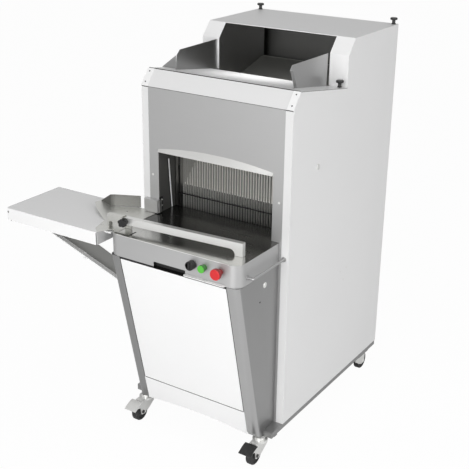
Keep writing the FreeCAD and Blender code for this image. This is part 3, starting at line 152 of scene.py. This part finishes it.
# %% Brushed steel recipe
def brushed_steel(name, hex_colour, roughness, along, streak_mm=1.2, length_mm=160.0, contrast=0.05, bump=0.02,
                  shade_ramp=None, metallic=1.0):
    """Metal whose colour, roughness and bump follow noise stretched along one axis (0, 1 or 2).
    A ramp (axis, from_mm, to_mm, share) paints shade: it dims the colour to a share of itself along one axis of the
    row.
    Metallic under 1 stands for a film of fat, oxide or lacquer that scatters part of the light."""
    mat, tree, shader = material(name)
    place = add(tree, "ShaderNodeTexCoord")
    scale = [1000.0 / streak_mm] * 3
    scale[along] = 1000.0 / length_mm
    stretch = add(tree, "ShaderNodeMapping", {"Scale": scale}, {"Vector": place.outputs["Object"]})
    streaks = add(
        tree, "ShaderNodeTexNoise", {"Scale": 1.0, "Detail": 3.0, "Roughness": 0.6},
        {"Vector": stretch.outputs["Vector"]},
    )
    tint = add(tree, "ShaderNodeMapRange", {"To Min": 1.0 - contrast, "To Max": 1.0 + contrast},
               {"Value": streaks.outputs["Fac"]})
    colour = add(tree, "ShaderNodeMix", {"Factor": 1.0, "A": linear(hex_colour)}, data_type="RGBA",
                 blend_type="MULTIPLY")
    tree.links.new(tint.outputs["Result"], colour.inputs["B"])
    # Painted shade: the colour dims to a share of itself along one axis.
    if shade_ramp:
        axis, start, end, share = shade_ramp
        split = add(tree, "ShaderNodeSeparateXYZ", links={"Vector": place.outputs["Object"]})
        dim = add(tree, "ShaderNodeMapRange",
                  {"From Min": start / 1000.0, "From Max": end / 1000.0, "To Min": 1.0, "To Max": share},
                  {"Value": split.outputs[axis]}, interpolation_type="SMOOTHSTEP")
        both = add(tree, "ShaderNodeMath", operation="MULTIPLY",
                   links={0: tint.outputs["Result"], 1: dim.outputs["Result"]})
        tree.links.new(both.outputs["Value"], colour.inputs["B"])
    rough = add(tree, "ShaderNodeMapRange", {"To Min": roughness * 0.85, "To Max": roughness * 1.15},
                {"Value": streaks.outputs["Fac"]})
    grain = add(tree, "ShaderNodeBump", {"Strength": bump, "Distance": 0.0002}, {"Height": streaks.outputs["Fac"]})
    shader.inputs["Metallic"].default_value = metallic
    tree.links.new(colour.outputs["Result"], shader.inputs["Base Color"])
    tree.links.new(rough.outputs["Result"], shader.inputs["Roughness"])
    tree.links.new(grain.outputs["Normal"], shader.inputs["Normal"])
    return mat


STEEL_X = brushed_steel("brushed_stainless_grain_x", "#CACACA", 0.36, 0)
PANEL_STEEL = brushed_steel("satin_stainless_panel", "#B9B9B9", 0.5, 0, metallic=0.85)
STEEL_Y = brushed_steel("brushed_stainless_grain_y", "#B4B4B4", 0.34, 1)
STEEL_Z = brushed_steel("brushed_stainless_grain_z", "#A2A2A2", 0.36, 2)
# A paler copy of the panel steel for the visor's lip: painted light on its up-turned faces.
LIT_VISOR_STEEL = brushed_steel("satin_stainless_visor", "#D5D5D3", 0.42, 0, streak_mm=1.6)
# The table's colour dims from its front towards the opening: a painted reflection of the dark opening in the polished
# top.
TABLE_STEEL = brushed_steel("polished_stainless_table_painted_reflection", "#C4C4C1", 0.2, 0, contrast=0.05, bump=0.01,
                            shade_ramp=(1, -475.0, -330.0, 0.25))
SCOOP_STEEL = brushed_steel("stainless_scoop_floor", "#D2D2CE", 0.38, 0, contrast=0.04)
# A darker copy of the scoop's steel for its upright fence, with stronger streaks: painted shade and painted reflection.
SHADED_FENCE_STEEL = brushed_steel("stainless_scoop_fence", "#6E6E6C", 0.36, 0, streak_mm=2.5, contrast=0.12)
APRON_STEEL = brushed_steel("satin_stainless_apron", "#C0C0C0", 0.55, 0)
BAR_STEEL = brushed_steel("polished_stainless_bar", "#E6E6E4", 0.34, 0, metallic=0.7)
# Near-white steel for the screw heads and the leg's plug, and for the table's folded hem, where its near-white colour
# is a painted highlight along the edge.
BRIGHT_STEEL_AND_EDGE_HIGHLIGHT = brushed_steel("bright_rolled_edge", "#F2F2F0", 0.3, 0, contrast=0.02)
INNER_STEEL = brushed_steel("mill_finish_steel", "#8E8E8C", 0.45, 2)
# Darker steel for the faces inside the cabinet, the hood, the slicing throat and behind the apron: painted shade.
SHADED_LINING_STEEL = brushed_steel("steel_lining_painted_shade", "#6E6E6C", 0.50, 2, contrast=0.08, metallic=0.7)
# Darker steel for the chute: painted shade inside the throat.
SHADED_CHUTE_STEEL = brushed_steel("shaded_chute_steel", "#A0A09C", 0.45, 1, contrast=0.06, metallic=0.6)
STAY_STEEL = brushed_steel("shaded_stay_steel", "#8F8F8D", 0.45, 0)
# A paler copy of the leg steel for the right leg's front faces: painted light.
LIT_LEG_FRONT_STEEL = brushed_steel("leg_front_painted_light", "#BCBCBC", 0.34, 2)
RAIL_STEEL = brushed_steel("plain_steel_rail", "#9A9A9A", 0.38, 1, streak_mm=2.0)
# The blades' colour dims above 925 to 955 mm: painted shade on their upper part.
BLADE_STEEL = brushed_steel("polished_spring_steel_shaded_top", "#D6D6D2", 0.28, 2, streak_mm=0.8, metallic=0.35,
                            shade_ramp=(2, 925.0, 955.0, 0.65))
print("steels", [m.name for m in bpy.data.materials if "steel" in m.name or "stainless" in m.name])

# %% [markdown]
# ## Enamelled sheet
# The side panels, the drawer front and the shelf are pale enamelled sheet. Baked enamel is a
# smooth dielectric coat with the faintest orange peel, about 2 mm from crest to crest.

# %% Enamel recipe
def enamel(name, hex_colour, roughness=0.35, peel_mm=2.0, strength=0.04):
    """Dielectric coat: one colour with slight large-scale variation, and fine peel as bump."""
    mat, tree, shader = material(name)
    place = add(tree, "ShaderNodeTexCoord")
    peel = add(tree, "ShaderNodeTexNoise", {"Scale": 1000.0 / peel_mm, "Detail": 2.0},
               {"Vector": place.outputs["Object"]})
    cloud = add(tree, "ShaderNodeTexNoise", {"Scale": 3.0, "Detail": 1.0}, {"Vector": place.outputs["Object"]})
    tint = add(tree, "ShaderNodeMapRange", {"To Min": 0.985, "To Max": 1.01}, {"Value": cloud.outputs["Fac"]})
    colour = add(tree, "ShaderNodeMix", {"Factor": 1.0, "A": linear(hex_colour)}, data_type="RGBA",
                 blend_type="MULTIPLY")
    tree.links.new(tint.outputs["Result"], colour.inputs["B"])
    skin = add(tree, "ShaderNodeBump", {"Strength": strength, "Distance": 0.0003}, {"Height": peel.outputs["Fac"]})
    tree.links.new(colour.outputs["Result"], shader.inputs["Base Color"])
    tree.links.new(skin.outputs["Normal"], shader.inputs["Normal"])
    shader.inputs["Roughness"].default_value = roughness
    return mat


WHITE_ENAMEL = enamel("white_enamel", "#F4F4F4", 0.4)
# A paler copy of the white enamel: painted light on the drawer front, the kick strip and the shelf's front edge; also
# the white of the control box's front and the cheek strip.
PALER_WHITE_ENAMEL = enamel("paler_white_enamel_partly_painted_light", "#F7F7F7", 0.4)
# A darker copy of the white enamel: painted shade on the deck, the slanted strip, the side panels' front faces and the
# hood's top.
SHADED_WHITE_ENAMEL = enamel("white_enamel_painted_shade", "#E4E4E4", 0.4)
# A grey copy of the white enamel for the shelf's end face: painted shade.
SHADED_SHELF_END_ENAMEL = enamel("shelf_end_painted_shade", "#BCBCBC", 0.45)
# Pale enamel for the chute's lower, up-turned faces: painted light where the key lamp reaches through the opening.
LIT_CHUTE_ENAMEL = enamel("chute_enamel_painted_light", "#F0EEE9", 0.5)
MOTOR_ENAMEL = enamel("grey_machine_enamel", "#5A6066", 0.5)

# %% [markdown]
# ## Plastics, rubber and zinc
# Knobs are moulded ABS with a fine spark-eroded skin, the two buttons are glossy coloured
# polycarbonate, tyres and belt are matt rubber, castor forks are pressed steel in bright zinc.

# %% Plastics, rubber, zinc
def moulded(name, hex_colour, roughness, skin_mm=0.6, strength=0.15, coat=0.0):
    """Moulded plastic or rubber: plain colour, fine cellular skin as bump and roughness variation."""
    mat, tree, shader = material(name)
    place = add(tree, "ShaderNodeTexCoord")
    skin = add(tree, "ShaderNodeTexNoise", {"Scale": 1000.0 / skin_mm, "Detail": 2.0},
               {"Vector": place.outputs["Object"]})
    rough = add(tree, "ShaderNodeMapRange", {"To Min": roughness * 0.9, "To Max": roughness * 1.1},
                {"Value": skin.outputs["Fac"]})
    tint = add(tree, "ShaderNodeMapRange", {"To Min": 0.92, "To Max": 1.06}, {"Value": skin.outputs["Fac"]})
    colour = add(tree, "ShaderNodeMix", {"Factor": 1.0, "A": linear(hex_colour)}, data_type="RGBA",
                 blend_type="MULTIPLY")
    tree.links.new(tint.outputs["Result"], colour.inputs["B"])
    grain = add(tree, "ShaderNodeBump", {"Strength": strength, "Distance": 0.0001}, {"Height": skin.outputs["Fac"]})
    tree.links.new(colour.outputs["Result"], shader.inputs["Base Color"])
    tree.links.new(rough.outputs["Result"], shader.inputs["Roughness"])
    tree.links.new(grain.outputs["Normal"], shader.inputs["Normal"])
    shader.inputs["Coat Weight"].default_value = coat
    return mat


BLACK_ABS = moulded("black_moulded_abs", "#161616", 0.42)
PALE_ABS = moulded("pale_grey_moulded_abs", "#D8D8D6", 0.5)
GREEN_LENS = moulded("green_polycarbonate", "#55BE38", 0.3, strength=0.02, coat=0.3)
# Darker green for the start button's sides: painted shade round its rim.
SHADED_GREEN_SIDES = moulded("green_polycarbonate_shaded_sides", "#2F7A20", 0.35, strength=0.02, coat=0.3)
RED_LENS = moulded("red_polycarbonate", "#D4141A", 0.3, strength=0.02, coat=0.3)
# Darker red for the stop button's sides: painted shade round its rim.
SHADED_RED_SIDES = moulded("red_polycarbonate_shaded_sides", "#8E0C10", 0.35, strength=0.02, coat=0.3)
TYRE = moulded("grey_tyre_rubber", "#2B2B2B", 0.6, skin_mm=1.2)
BELT = moulded("black_belt_rubber", "#121212", 0.7, skin_mm=1.5)
ZINC = brushed_steel("bright_zinc_plate", "#EBEBE9", 0.36, 2, streak_mm=3.0, length_mm=8.0, contrast=0.04, metallic=0.6)
CASTING = moulded("painted_grey_casting", "#3A3B3D", 0.55, skin_mm=3.0, strength=0.4)

# %% [markdown]
# ## Dressing the CAD pieces
# A CAD piece arrives as loose triangles with knife-sharp edges. Real folded sheet and machined
# parts catch the light along every edge. So each piece gets a worked copy: a copy of the mesh is
# merged, flat triangles are joined into faces, and a Bevel modifier rounds the edges a little.

# %% Worked copies
def worked(node, mat, edge_mm=0.5, segments=2, smooth_deg=32.0):
    """Copy of a CAD node: merged, flat faces joined, edges bevelled by edge_mm, curved faces smooth."""
    mesh = NODES[node].data.copy()
    mesh.name = node + "_worked"
    bm = bmesh.new()
    bm.from_mesh(mesh)
    bmesh.ops.remove_doubles(bm, verts=bm.verts, dist=2e-5)
    bmesh.ops.dissolve_limit(bm, angle_limit=math.radians(0.6), verts=bm.verts, edges=bm.edges)
    for face in bm.faces:
        face.smooth = True
    limit = math.radians(smooth_deg)
    for edge in bm.edges:
        edge.smooth = edge.is_manifold and edge.calc_face_angle(0.0) < limit
    bm.to_mesh(mesh)
    bm.free()
    mesh.materials.clear()
    mesh.materials.append(mat)
    piece = bpy.data.objects.new(node + "_dressed", mesh)
    bpy.context.scene.collection.objects.link(piece)
    if edge_mm:
        bevel = piece.modifiers.new("rounded_edges", "BEVEL")
        bevel.width = edge_mm / 1000.0
        bevel.segments = segments
        bevel.limit_method = "ANGLE"
        bevel.angle_limit = math.radians(40.0)
        bevel.harden_normals = True
    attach(piece, BODY_OF[node])
    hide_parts(node)
    return piece


# The chute takes the darker chute steel: painted shade.
# The deck and the slanted strip take the darker copy of the white enamel: painted shade.
# The drawer front and the kick strip take the paler copy of the white enamel: painted light.
FINISH = {
    "front_panel": (PANEL_STEEL, 0.6), "hood_shell": (WHITE_ENAMEL, 0.6), "deck": (SHADED_WHITE_ENAMEL, 0.5), "chute": (SHADED_CHUTE_STEEL, 0.5),
    "hopper_wall_left": (STEEL_Y, 0.5), "hopper_wall_right": (STEEL_Y, 0.5), "apron": (APRON_STEEL, 0.5),
    "leg_left": (STEEL_Z, 0.6), "leg_right": (STEEL_Z, 0.6), "outfeed_table": (TABLE_STEEL, 0.4),
    "shelf_stay": (STEEL_X, 0.6), "bag_scoop": (SCOOP_STEEL, 0.4), "scoop_mount": (STEEL_X, 0.5),
    "guide_bar": (BAR_STEEL, 1.5), "side_rod": (STEEL_Y, 0.5), "control_box": (STEEL_X, 0.5),
    "lower_bulkhead": (STEEL_X, 0.4), "side_panel_left": (WHITE_ENAMEL, 0.6), "side_panel_right": (WHITE_ENAMEL, 0.6),
    "rear_panel": (WHITE_ENAMEL, 0.4), "chamfer_strip": (SHADED_WHITE_ENAMEL, 0.5), "corner_plates": (WHITE_ENAMEL, 0.6),
    "side_shelf": (WHITE_ENAMEL, 1.2), "drawer_front": (PALER_WHITE_ENAMEL, 0.8), "kick_strip": (PALER_WHITE_ENAMEL, 0.4),
    "base_frame": (RAIL_STEEL, 0.6), "drawer_box": (INNER_STEEL, 0.4), "drawer_runners": (INNER_STEEL, 0.5),
    "blade_frame_front": (INNER_STEEL, 0.8), "blade_frame_rear": (INNER_STEEL, 0.8), "frame_guides": (BLACK_ABS, 0.6),
    "crankshaft": (INNER_STEEL, 0.8), "con_rods_front": (INNER_STEEL, 0.8), "con_rods_rear": (INNER_STEEL, 0.8),
    "motor_pulley": (CASTING, 0.6), "blades_front": (BLADE_STEEL, 0.0), "blades_rear": (BLADE_STEEL, 0.0),
    "bearing_blocks": (CASTING, 1.5), "motor": (MOTOR_ENAMEL, 1.2), "drive_belt": (BELT, 0.4),
    "fork_front_left": (ZINC, 0.5), "fork_front_right": (ZINC, 0.5), "forks_rear": (ZINC, 0.5),
    "panel_screws": (ZINC, 0.4), "side_lock": (ZINC, 0.4), "wheel_front_left": (TYRE, 0.5),
    "wheel_front_right": (TYRE, 0.5), "wheel_rear_left": (TYRE, 0.5), "wheel_rear_right": (TYRE, 0.5),
    "brake_pedal_left": (PALE_ABS, 0.8), "brake_pedal_right": (BLACK_ABS, 0.8),
    "cover_knob_rear_left": (BLACK_ABS, 0.4), "cover_knob_rear_right": (BLACK_ABS, 0.4),
    "cover_knob_front_left": (BLACK_ABS, 0.4), "cover_knob_front_right": (BLACK_ABS, 0.4),
    "bar_knob": (BLACK_ABS, 0.8), "selector_switch": (BLACK_ABS, 0.8), "cable_gland": (BLACK_ABS, 0.6),
    "start_button": (GREEN_LENS, 1.0), "stop_button": (RED_LENS, 1.0),
}
SHARP_CREASES = {"front_panel": 4.0, "hood_shell": 8.0, "chute": 8.0, "deck": 4.0}
DRESSED = {}
for node, (mat, edge) in FINISH.items():
    DRESSED[node] = worked(node, mat, edge, smooth_deg=SHARP_CREASES.get(node, 32.0))
print("dressed", len(FINISH), "of", len(NODES))

# %% [markdown]
# ## Two finishes on one piece
# Some folded pieces are painted outside and bare inside. The dark steel inside the cabinet, the hood,
# the slicing throat and the apron is painted shade, and paler or darker copies of a piece's own paint or steel
# on single faces are painted light and shade. Splitting the mesh would lose its bevels, so faces simply choose
# between material slots: a rule looks at each face's middle, in cabinet millimetres, and at its normal.

# %% Second finishes
def recoat(node, mat, rule):
    """Gives the faces of a dressed piece that obey rule(x, y, z, normal) a second material."""
    mesh = DRESSED[node].data
    mesh.materials.append(mat)
    slot = len(mesh.materials) - 1
    count = 0
    for face in mesh.polygons:
        x, y, z = np.array(face.center) * 1000.0 - TO_ROW
        if rule(x, y, z, face.normal):
            face.material_index = slot
            count += 1
    print("recoated", node, count, "faces with", mat.name)


# The visor's lip takes the paler copy of the panel steel: painted light.
recoat("front_panel", LIT_VISOR_STEEL, lambda x, y, z, n: y < -0.2)
# The opening's jambs, the hood's inside, the panels' inside faces and the deck's throat faces take the dark lining
# steel: painted shade.
recoat("front_panel", SHADED_LINING_STEEL, lambda x, y, z, n: y > 4 and 850 < z < 1125)
recoat("hood_shell", SHADED_LINING_STEEL, lambda x, y, z, n: n.z < -0.2 or n.y > 0.7)
recoat("rear_panel", SHADED_LINING_STEEL, lambda x, y, z, n: n.y < -0.7)
recoat("side_panel_left", SHADED_LINING_STEEL, lambda x, y, z, n: n.x > 0.7)
recoat("side_panel_right", SHADED_LINING_STEEL, lambda x, y, z, n: n.x < -0.7)
recoat("deck", SHADED_LINING_STEEL, lambda x, y, z, n: n.z < 0.9)
# The chute's lower up-turned faces take the pale enamel, painted light; its lip takes the dark lining steel, painted
# shade.
recoat("chute", LIT_CHUTE_ENAMEL, lambda x, y, z, n: z < 1150 and n.z > 0.3)
recoat("chute", SHADED_LINING_STEEL, lambda x, y, z, n: z < 930 and abs(n.y) > 0.8)
for side, fork in ((-1, "fork_front_left"), (1, "fork_front_right")):
    recoat(fork, BLACK_ABS, lambda x, y, z, n: abs(x - side * 270) > 17.2 and abs(y + 126) < 9 and abs(z - 38) < 9)
# The drawer front's top faces, in the gap under the apron, are black: painted shade in the gap.
recoat("drawer_front", BLACK_ABS, lambda x, y, z, n: n.z > 0.8)
# The side panels' front faces take the darker copy of their white enamel: painted shade.
recoat("side_panel_right", SHADED_WHITE_ENAMEL, lambda x, y, z, n: n.y < -0.7 and y < 4)
recoat("side_panel_left", SHADED_WHITE_ENAMEL, lambda x, y, z, n: n.y < -0.7 and y < 4)
# The shelf's end face takes the grey copy of its white enamel: painted shade.
recoat("side_shelf", SHADED_SHELF_END_ENAMEL, lambda x, y, z, n: n.x > 0.5)
# The scoop's fence faces take the darker copy of its steel: painted shade and painted reflection.
recoat("bag_scoop", SHADED_FENCE_STEEL, lambda x, y, z, n: n.y < -0.5 and n.z < 0.5 and y > -70)
# The shelf's front edge takes the paler copy of its white enamel: painted light.
recoat("side_shelf", PALER_WHITE_ENAMEL, lambda x, y, z, n: n.y < -0.5 and y < -280)
recoat("shelf_stay", WHITE_ENAMEL, lambda x, y, z, n: y < -202)
recoat("shelf_stay", STAY_STEEL, lambda x, y, z, n: n.y < -0.9 and y > -202)
recoat("control_box", PALER_WHITE_ENAMEL, lambda x, y, z, n: y < -264)
recoat("control_box", BLACK_ABS, lambda x, y, z, n: y < -264 and n.z < -0.5)
recoat("panel_screws", BLACK_ABS, lambda x, y, z, n: z > 1330)
# The buttons' sides take the darker copies of their colour: painted shade.
recoat("start_button", SHADED_GREEN_SIDES, lambda x, y, z, n: n.y > -0.9)
recoat("stop_button", SHADED_RED_SIDES, lambda x, y, z, n: n.y > -0.3)
# The hood's top takes the darker copy of its white enamel: painted shade.
recoat("hood_shell", SHADED_WHITE_ENAMEL, lambda x, y, z, n: n.z > 0.7)
# The right leg's front faces take the paler copy of the leg steel: painted light.
recoat("leg_right", LIT_LEG_FRONT_STEEL, lambda x, y, z, n: n.y < -0.45)
# The apron's back faces take the dark lining steel: painted shade behind the finger notch.
recoat("apron", SHADED_LINING_STEEL, lambda x, y, z, n: n.y > 0.7)

# %% [markdown]
# ## Small parts that CAD leaves out
# A few details carry no load but the eye misses them at once: the strip and the hinge plate in the
# opening, the comb bar that keeps the blades apart, the seal behind the slanted strip. They are all
# bars of one section, so one sweep makes them: a rounded outline carried along a path.

# %% Swept bars
def rounded_outline(width, height, radius, steps=4):
    """Outline of a rounded rectangle, as (a, b) pairs going round once."""
    points = []
    for quarter, (sa, sb) in enumerate(((1, 1), (-1, 1), (-1, -1), (1, -1))):
        for i in range(steps + 1):
            turn = math.pi / 2 * (quarter + i / steps)
            points.append((sa * (width / 2 - radius) + radius * math.cos(turn),
                           sb * (height / 2 - radius) + radius * math.sin(turn)))
    return points


def new_piece(name, verts_mm, faces, mat, body, smooth_deg=40.0):
    """Mesh object from cabinet millimetres, smooth where the surface turns less than smooth_deg."""
    mesh = bpy.data.meshes.new(name)
    mesh.from_pydata(row(verts_mm).tolist(), [], faces)
    bm = bmesh.new()
    bm.from_mesh(mesh)
    bmesh.ops.recalc_face_normals(bm, faces=bm.faces)
    for face in bm.faces:
        face.smooth = True
    for edge in bm.edges:
        edge.smooth = edge.is_manifold and edge.calc_face_angle(0.0) < math.radians(smooth_deg)
    bm.to_mesh(mesh)
    bm.free()
    mesh.materials.append(mat)
    piece = bpy.data.objects.new(name, mesh)
    bpy.context.scene.collection.objects.link(piece)
    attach(piece, body)
    return piece


def swept(name, outline, path, side, mat, body="cabinet"):
    """Carries an outline along a path: a runs along side, b along the remaining direction."""
    path = np.asarray(path, float)
    side = np.asarray(side, float)
    tangents = np.gradient(path, axis=0)
    verts, faces = [], []
    for point, tangent in zip(path, tangents):
        tangent = tangent / np.linalg.norm(tangent)
        across = side - tangent * side.dot(tangent)
        across = across / np.linalg.norm(across)
        away = np.cross(tangent, across)
        verts += [point + a * across + b * away for a, b in outline]
    n = len(outline)
    for i in range(len(path) - 1):
        for j in range(n):
            k = (j + 1) % n
            faces.append((i * n + j, i * n + k, (i + 1) * n + k, (i + 1) * n + j))
    faces.append(tuple(range(n)))
    faces.append(tuple(range((len(path) - 1) * n, len(path) * n)))
    return new_piece(name, verts, faces, mat, body)


def line(start, end, count=2):
    return np.linspace(start, end, count)


swept("cheek_strip", rounded_outline(6.0, 2.4, 0.8), line((-246.6, 61.0, 1056), (-246.6, 78.5, 859)), (0, 1, 0), PALER_WHITE_ENAMEL)
swept("cheek_strip_shadow", rounded_outline(4.0, 1.2, 0.4), line((-247.3, 55.6, 1060), (-247.3, 73.2, 859)), (0, 1, 0), BLACK_ABS)
swept("cheek_hinge_plate", rounded_outline(21.0, 1.8, 0.6), line((-246.9, 8.5, 864), (-246.9, 8.5, 918)), (0, 1, 0), BLACK_ABS)
swept("blade_comb_bar", rounded_outline(3.6, 3.6, 1.0), line((-249.2, 125.6, 901.5), (249.2, 125.6, 901.5), 8), (0, 1, 0), BLACK_ABS)
swept("deck_seal", rounded_outline(3.4, 4.4, 1.2), line((-318, 47.4, 1394.8), (318, 47.4, 1394.8), 8), (0, 1, 0), BLACK_ABS)
# A black strip behind the apron's finger notch: painted shade in the notch.
swept("notch_shade_backing", rounded_outline(2.0, 26.0, 0.8), line((-84, -247.0, 783), (66, -247.0, 783), 6), (0, 1, 0), BELT)
swept("shelf_edge_left", rounded_outline(1.4, 1.4, 0.5), line((-759.3, -284, 856.6), (-759.3, -2, 856.6), 4), (1, 0, 0), CASTING)
swept("shelf_edge_rear", rounded_outline(1.4, 1.4, 0.5), line((-759, -1.7, 856.6), (-313, -1.7, 856.6), 4), (0, 1, 0), CASTING)
# The table's front hem: a real fold, drawn near-white as a painted highlight along the edge.
swept("table_hem_highlight", rounded_outline(1.6, 2.4, 0.7), line((-241, -262.9, 856.2), (241, -262.9, 856.2), 8), (0, 1, 0), BRIGHT_STEEL_AND_EDGE_HIGHLIGHT)

# %% [markdown]
# ## The shade in the drawer's gaps
# The gaps round the slanted drawer front are deep shade. Thin black rubber strips a hair behind the white face
# paint that shade as a dark line all round. The same sweep makes the runs on its four sides.

# %% Painted shade in the drawer's gaps
def slant(z):
    """Depth of the slanted front at a height: it leans 12.87 degrees from (-263, 770)."""
    return -263.0 + (770.0 - z) * math.tan(math.radians(12.87))


# Painted shade: black strips in the gaps round the drawer front.
for side_name, x in (("left", -230.5), ("right", 230.5)):
    run = [(x, slant(z) + 2.3, z) for z in np.linspace(217, 762, 6)]
    swept("drawer_gap_shade_" + side_name, rounded_outline(2.8, 3.0, 0.5), run, (1, 0, 0), BELT)
swept("drawer_gap_shade_foot", rounded_outline(3.0, 3.2, 0.5), line((-228, slant(213.6) + 2.2, 213.6), (228, slant(213.6) + 2.2, 213.6), 6),
      (0, 1, 0), BELT)
swept("drawer_gap_shade_top_left", rounded_outline(3.0, 6.2, 0.5), line((-229, -260.4, 768), (-78, -260.4, 768), 4), (0, 1, 0), BELT)
swept("drawer_gap_shade_top_right", rounded_outline(3.0, 6.2, 0.5), line((61, -260.4, 768), (229, -260.4, 768), 4), (0, 1, 0), BELT)

# %% [markdown]
# ## Screws, plugs and rings
# Screw heads, blanking plugs and the rings at the rod's ends are turned parts, so one lathe makes
# them: a half profile of (radius, height) pairs spun about an axis.

# %% Turned parts
def turned(name, profile, centre, axis, mat, body="cabinet", steps=24):
    """Spins (radius, height) pairs about an axis that points out of the surface at centre."""
    axis = np.asarray(axis, float)
    first = np.cross(axis, (0.0, 0.0, 1.0) if abs(axis[2]) < 0.9 else (1.0, 0.0, 0.0))
    first = first / np.linalg.norm(first)
    second = np.cross(axis, first)
    verts = []
    for radius, height in profile:
        for i in range(steps):
            turn = 2 * math.pi * i / steps
            verts.append(np.asarray(centre, float) + axis * height
                         + radius * (math.cos(turn) * first + math.sin(turn) * second))
    faces = []
    for ring in range(len(profile) - 1):
        for i in range(steps):
            k = (i + 1) % steps
            faces.append((ring * steps + i, ring * steps + k, (ring + 1) * steps + k, (ring + 1) * steps + i))
    faces.append(tuple(range(steps)))
    faces.append(tuple(range((len(profile) - 1) * steps, len(profile) * steps)))
    return new_piece(name, verts, faces, mat, body)


def dome(radius, height):
    """Profile of a low domed head that stands on its surface."""
    return [(radius * math.cos(a), height * math.sin(a)) for a in np.linspace(0.0, math.radians(80), 6)]


turned("hinge_screw_low", dome(3.2, 1.4), (-246.2, 14.5, 882.4), (1, 0, 0), BRIGHT_STEEL_AND_EDGE_HIGHLIGHT)
turned("hinge_screw_high", dome(3.2, 1.4), (-246.2, 14.5, 905.7), (1, 0, 0), BRIGHT_STEEL_AND_EDGE_HIGHLIGHT)
turned("leg_plug", dome(11.0, 3.0), (280.0, -90.0, 727.0), (1, 0, 0), BRIGHT_STEEL_AND_EDGE_HIGHLIGHT)
turned("leg_stud", dome(3.4, 1.4), (280.0, -121.0, 672.0), (1, 0, 0), BLACK_ABS)
turned("shelf_hole_plug", dome(4.2, 0.8), (-752.4, -293.0, 841.8), (0, -1, 0), STAY_STEEL)
turned("shelf_pin", dome(2.2, 0.8), (-739.9, -293.0, 808.3), (0, -1, 0), STAY_STEEL)
turned("stay_eye_ring", [(9.0, 0.0), (9.0, 2.4), (7.6, 3.2), (4.2, 3.2), (4.2, 1.0)], (-453.5, -200.0, 704.6), (0, -1, 0), WHITE_ENAMEL)

# %% [markdown]
# ## Floor and background
# The photograph shows the machine on plain white. A wide white floor keeps a faint shadow. Polished
# sheet mirrors its surroundings, so both the floor and the world look bright to mirrors, while the
# light they throw on matt surfaces stays at a gentle fill.

# %% Floor and world
floor_mesh = bpy.data.meshes.new("floor")
floor_mesh.from_pydata([(-30, -30, 0), (30, -30, 0), (30, 30, 0), (-30, 30, 0)], [], [(0, 1, 2, 3)])
floor = bpy.data.objects.new("floor", floor_mesh)
bpy.context.scene.collection.objects.link(floor)
floor_mat, tree, shader = material("white_studio_floor")
shader.inputs["Base Color"].default_value = linear("#F2F2F2")
shader.inputs["Roughness"].default_value = 0.9
seen = add(tree, "ShaderNodeLightPath")
glow = add(tree, "ShaderNodeEmission", {"Color": (1, 1, 1, 1), "Strength": 1.0})
by_camera = add(tree, "ShaderNodeMath", {1: 0.97}, {0: seen.outputs["Is Camera Ray"]}, operation="MULTIPLY")
by_mirror = add(tree, "ShaderNodeMath", {1: 0.30}, {0: seen.outputs["Is Glossy Ray"]}, operation="MULTIPLY")
share = add(tree, "ShaderNodeMath", operation="MAXIMUM",
            links={0: by_camera.outputs["Value"], 1: by_mirror.outputs["Value"]})
blend = add(tree, "ShaderNodeMixShader",
            links={0: share.outputs["Value"], 1: shader.outputs["BSDF"], 2: glow.outputs["Emission"]})
tree.links.new(blend.outputs["Shader"], [n for n in tree.nodes if n.type == "OUTPUT_MATERIAL"][0].inputs["Surface"])
floor_mesh.materials.append(floor_mat)

world = bpy.data.worlds.new("studio")
bpy.context.scene.world = world
world.use_nodes = True
tree = world.node_tree
tree.nodes.clear()
seen = add(tree, "ShaderNodeLightPath")
fill = add(tree, "ShaderNodeBackground", {"Color": (1, 1, 1, 1), "Strength": 0.30})
mirrored_sky = add(tree, "ShaderNodeBackground", {"Color": (1, 1, 1, 1), "Strength": 0.75})
white = add(tree, "ShaderNodeBackground", {"Color": (1, 1, 1, 1), "Strength": 1.0})
soft = add(tree, "ShaderNodeMixShader",
           links={0: seen.outputs["Is Glossy Ray"], 1: fill.outputs[0], 2: mirrored_sky.outputs[0]})
blend = add(tree, "ShaderNodeMixShader",
            links={0: seen.outputs["Is Camera Ray"], 1: soft.outputs[0], 2: white.outputs[0]})
add(tree, "ShaderNodeOutputWorld", links={"Surface": blend.outputs["Shader"]})

# %% [markdown]
# ## Studio light
# A product photographer lights such a machine almost from the lens: one big soft box near the camera
# keeps the white front even, a second at the right lifts the side panel, and a weak one hangs above.
# A hand lamp hidden under the hood's edge lifts the deck, where the big ones cast the walls' shade.

# %% Lamps
def softbox(name, place_mm, target_mm, size_m, watts, spread_deg=180.0):
    """Square area lamp at a place, turned so that its -Z looks at the target. A grid narrows its spread."""
    data = bpy.data.lights.new(name, "AREA")
    data.shape = "SQUARE"
    data.size = size_m
    data.energy = watts
    data.spread = math.radians(spread_deg)
    lamp = bpy.data.objects.new(name, data)
    bpy.context.scene.collection.objects.link(lamp)
    here, there = Vector(row(place_mm)), Vector(row(target_mm))
    lamp.matrix_world = Matrix.Translation(here) @ (there - here).to_track_quat("-Z", "Y").to_matrix().to_4x4()
    return lamp


softbox("key_softbox", (600, -4300, 1900), (0, 0, 800), 2.4, 112)
softbox("side_softbox", (4300, -900, 2000), (200, 300, 800), 2.4, 57)
softbox("top_softbox", (0, -300, 4600), (0, 200, 0), 2.6, 22)
lid_lamp = softbox("lid_lamp", (0, 350, 1500), (0, 330, 1300), 0.3, 0.5, spread_deg=130.0)
lid_lamp.visible_camera = False
lid_lamp.visible_glossy = False
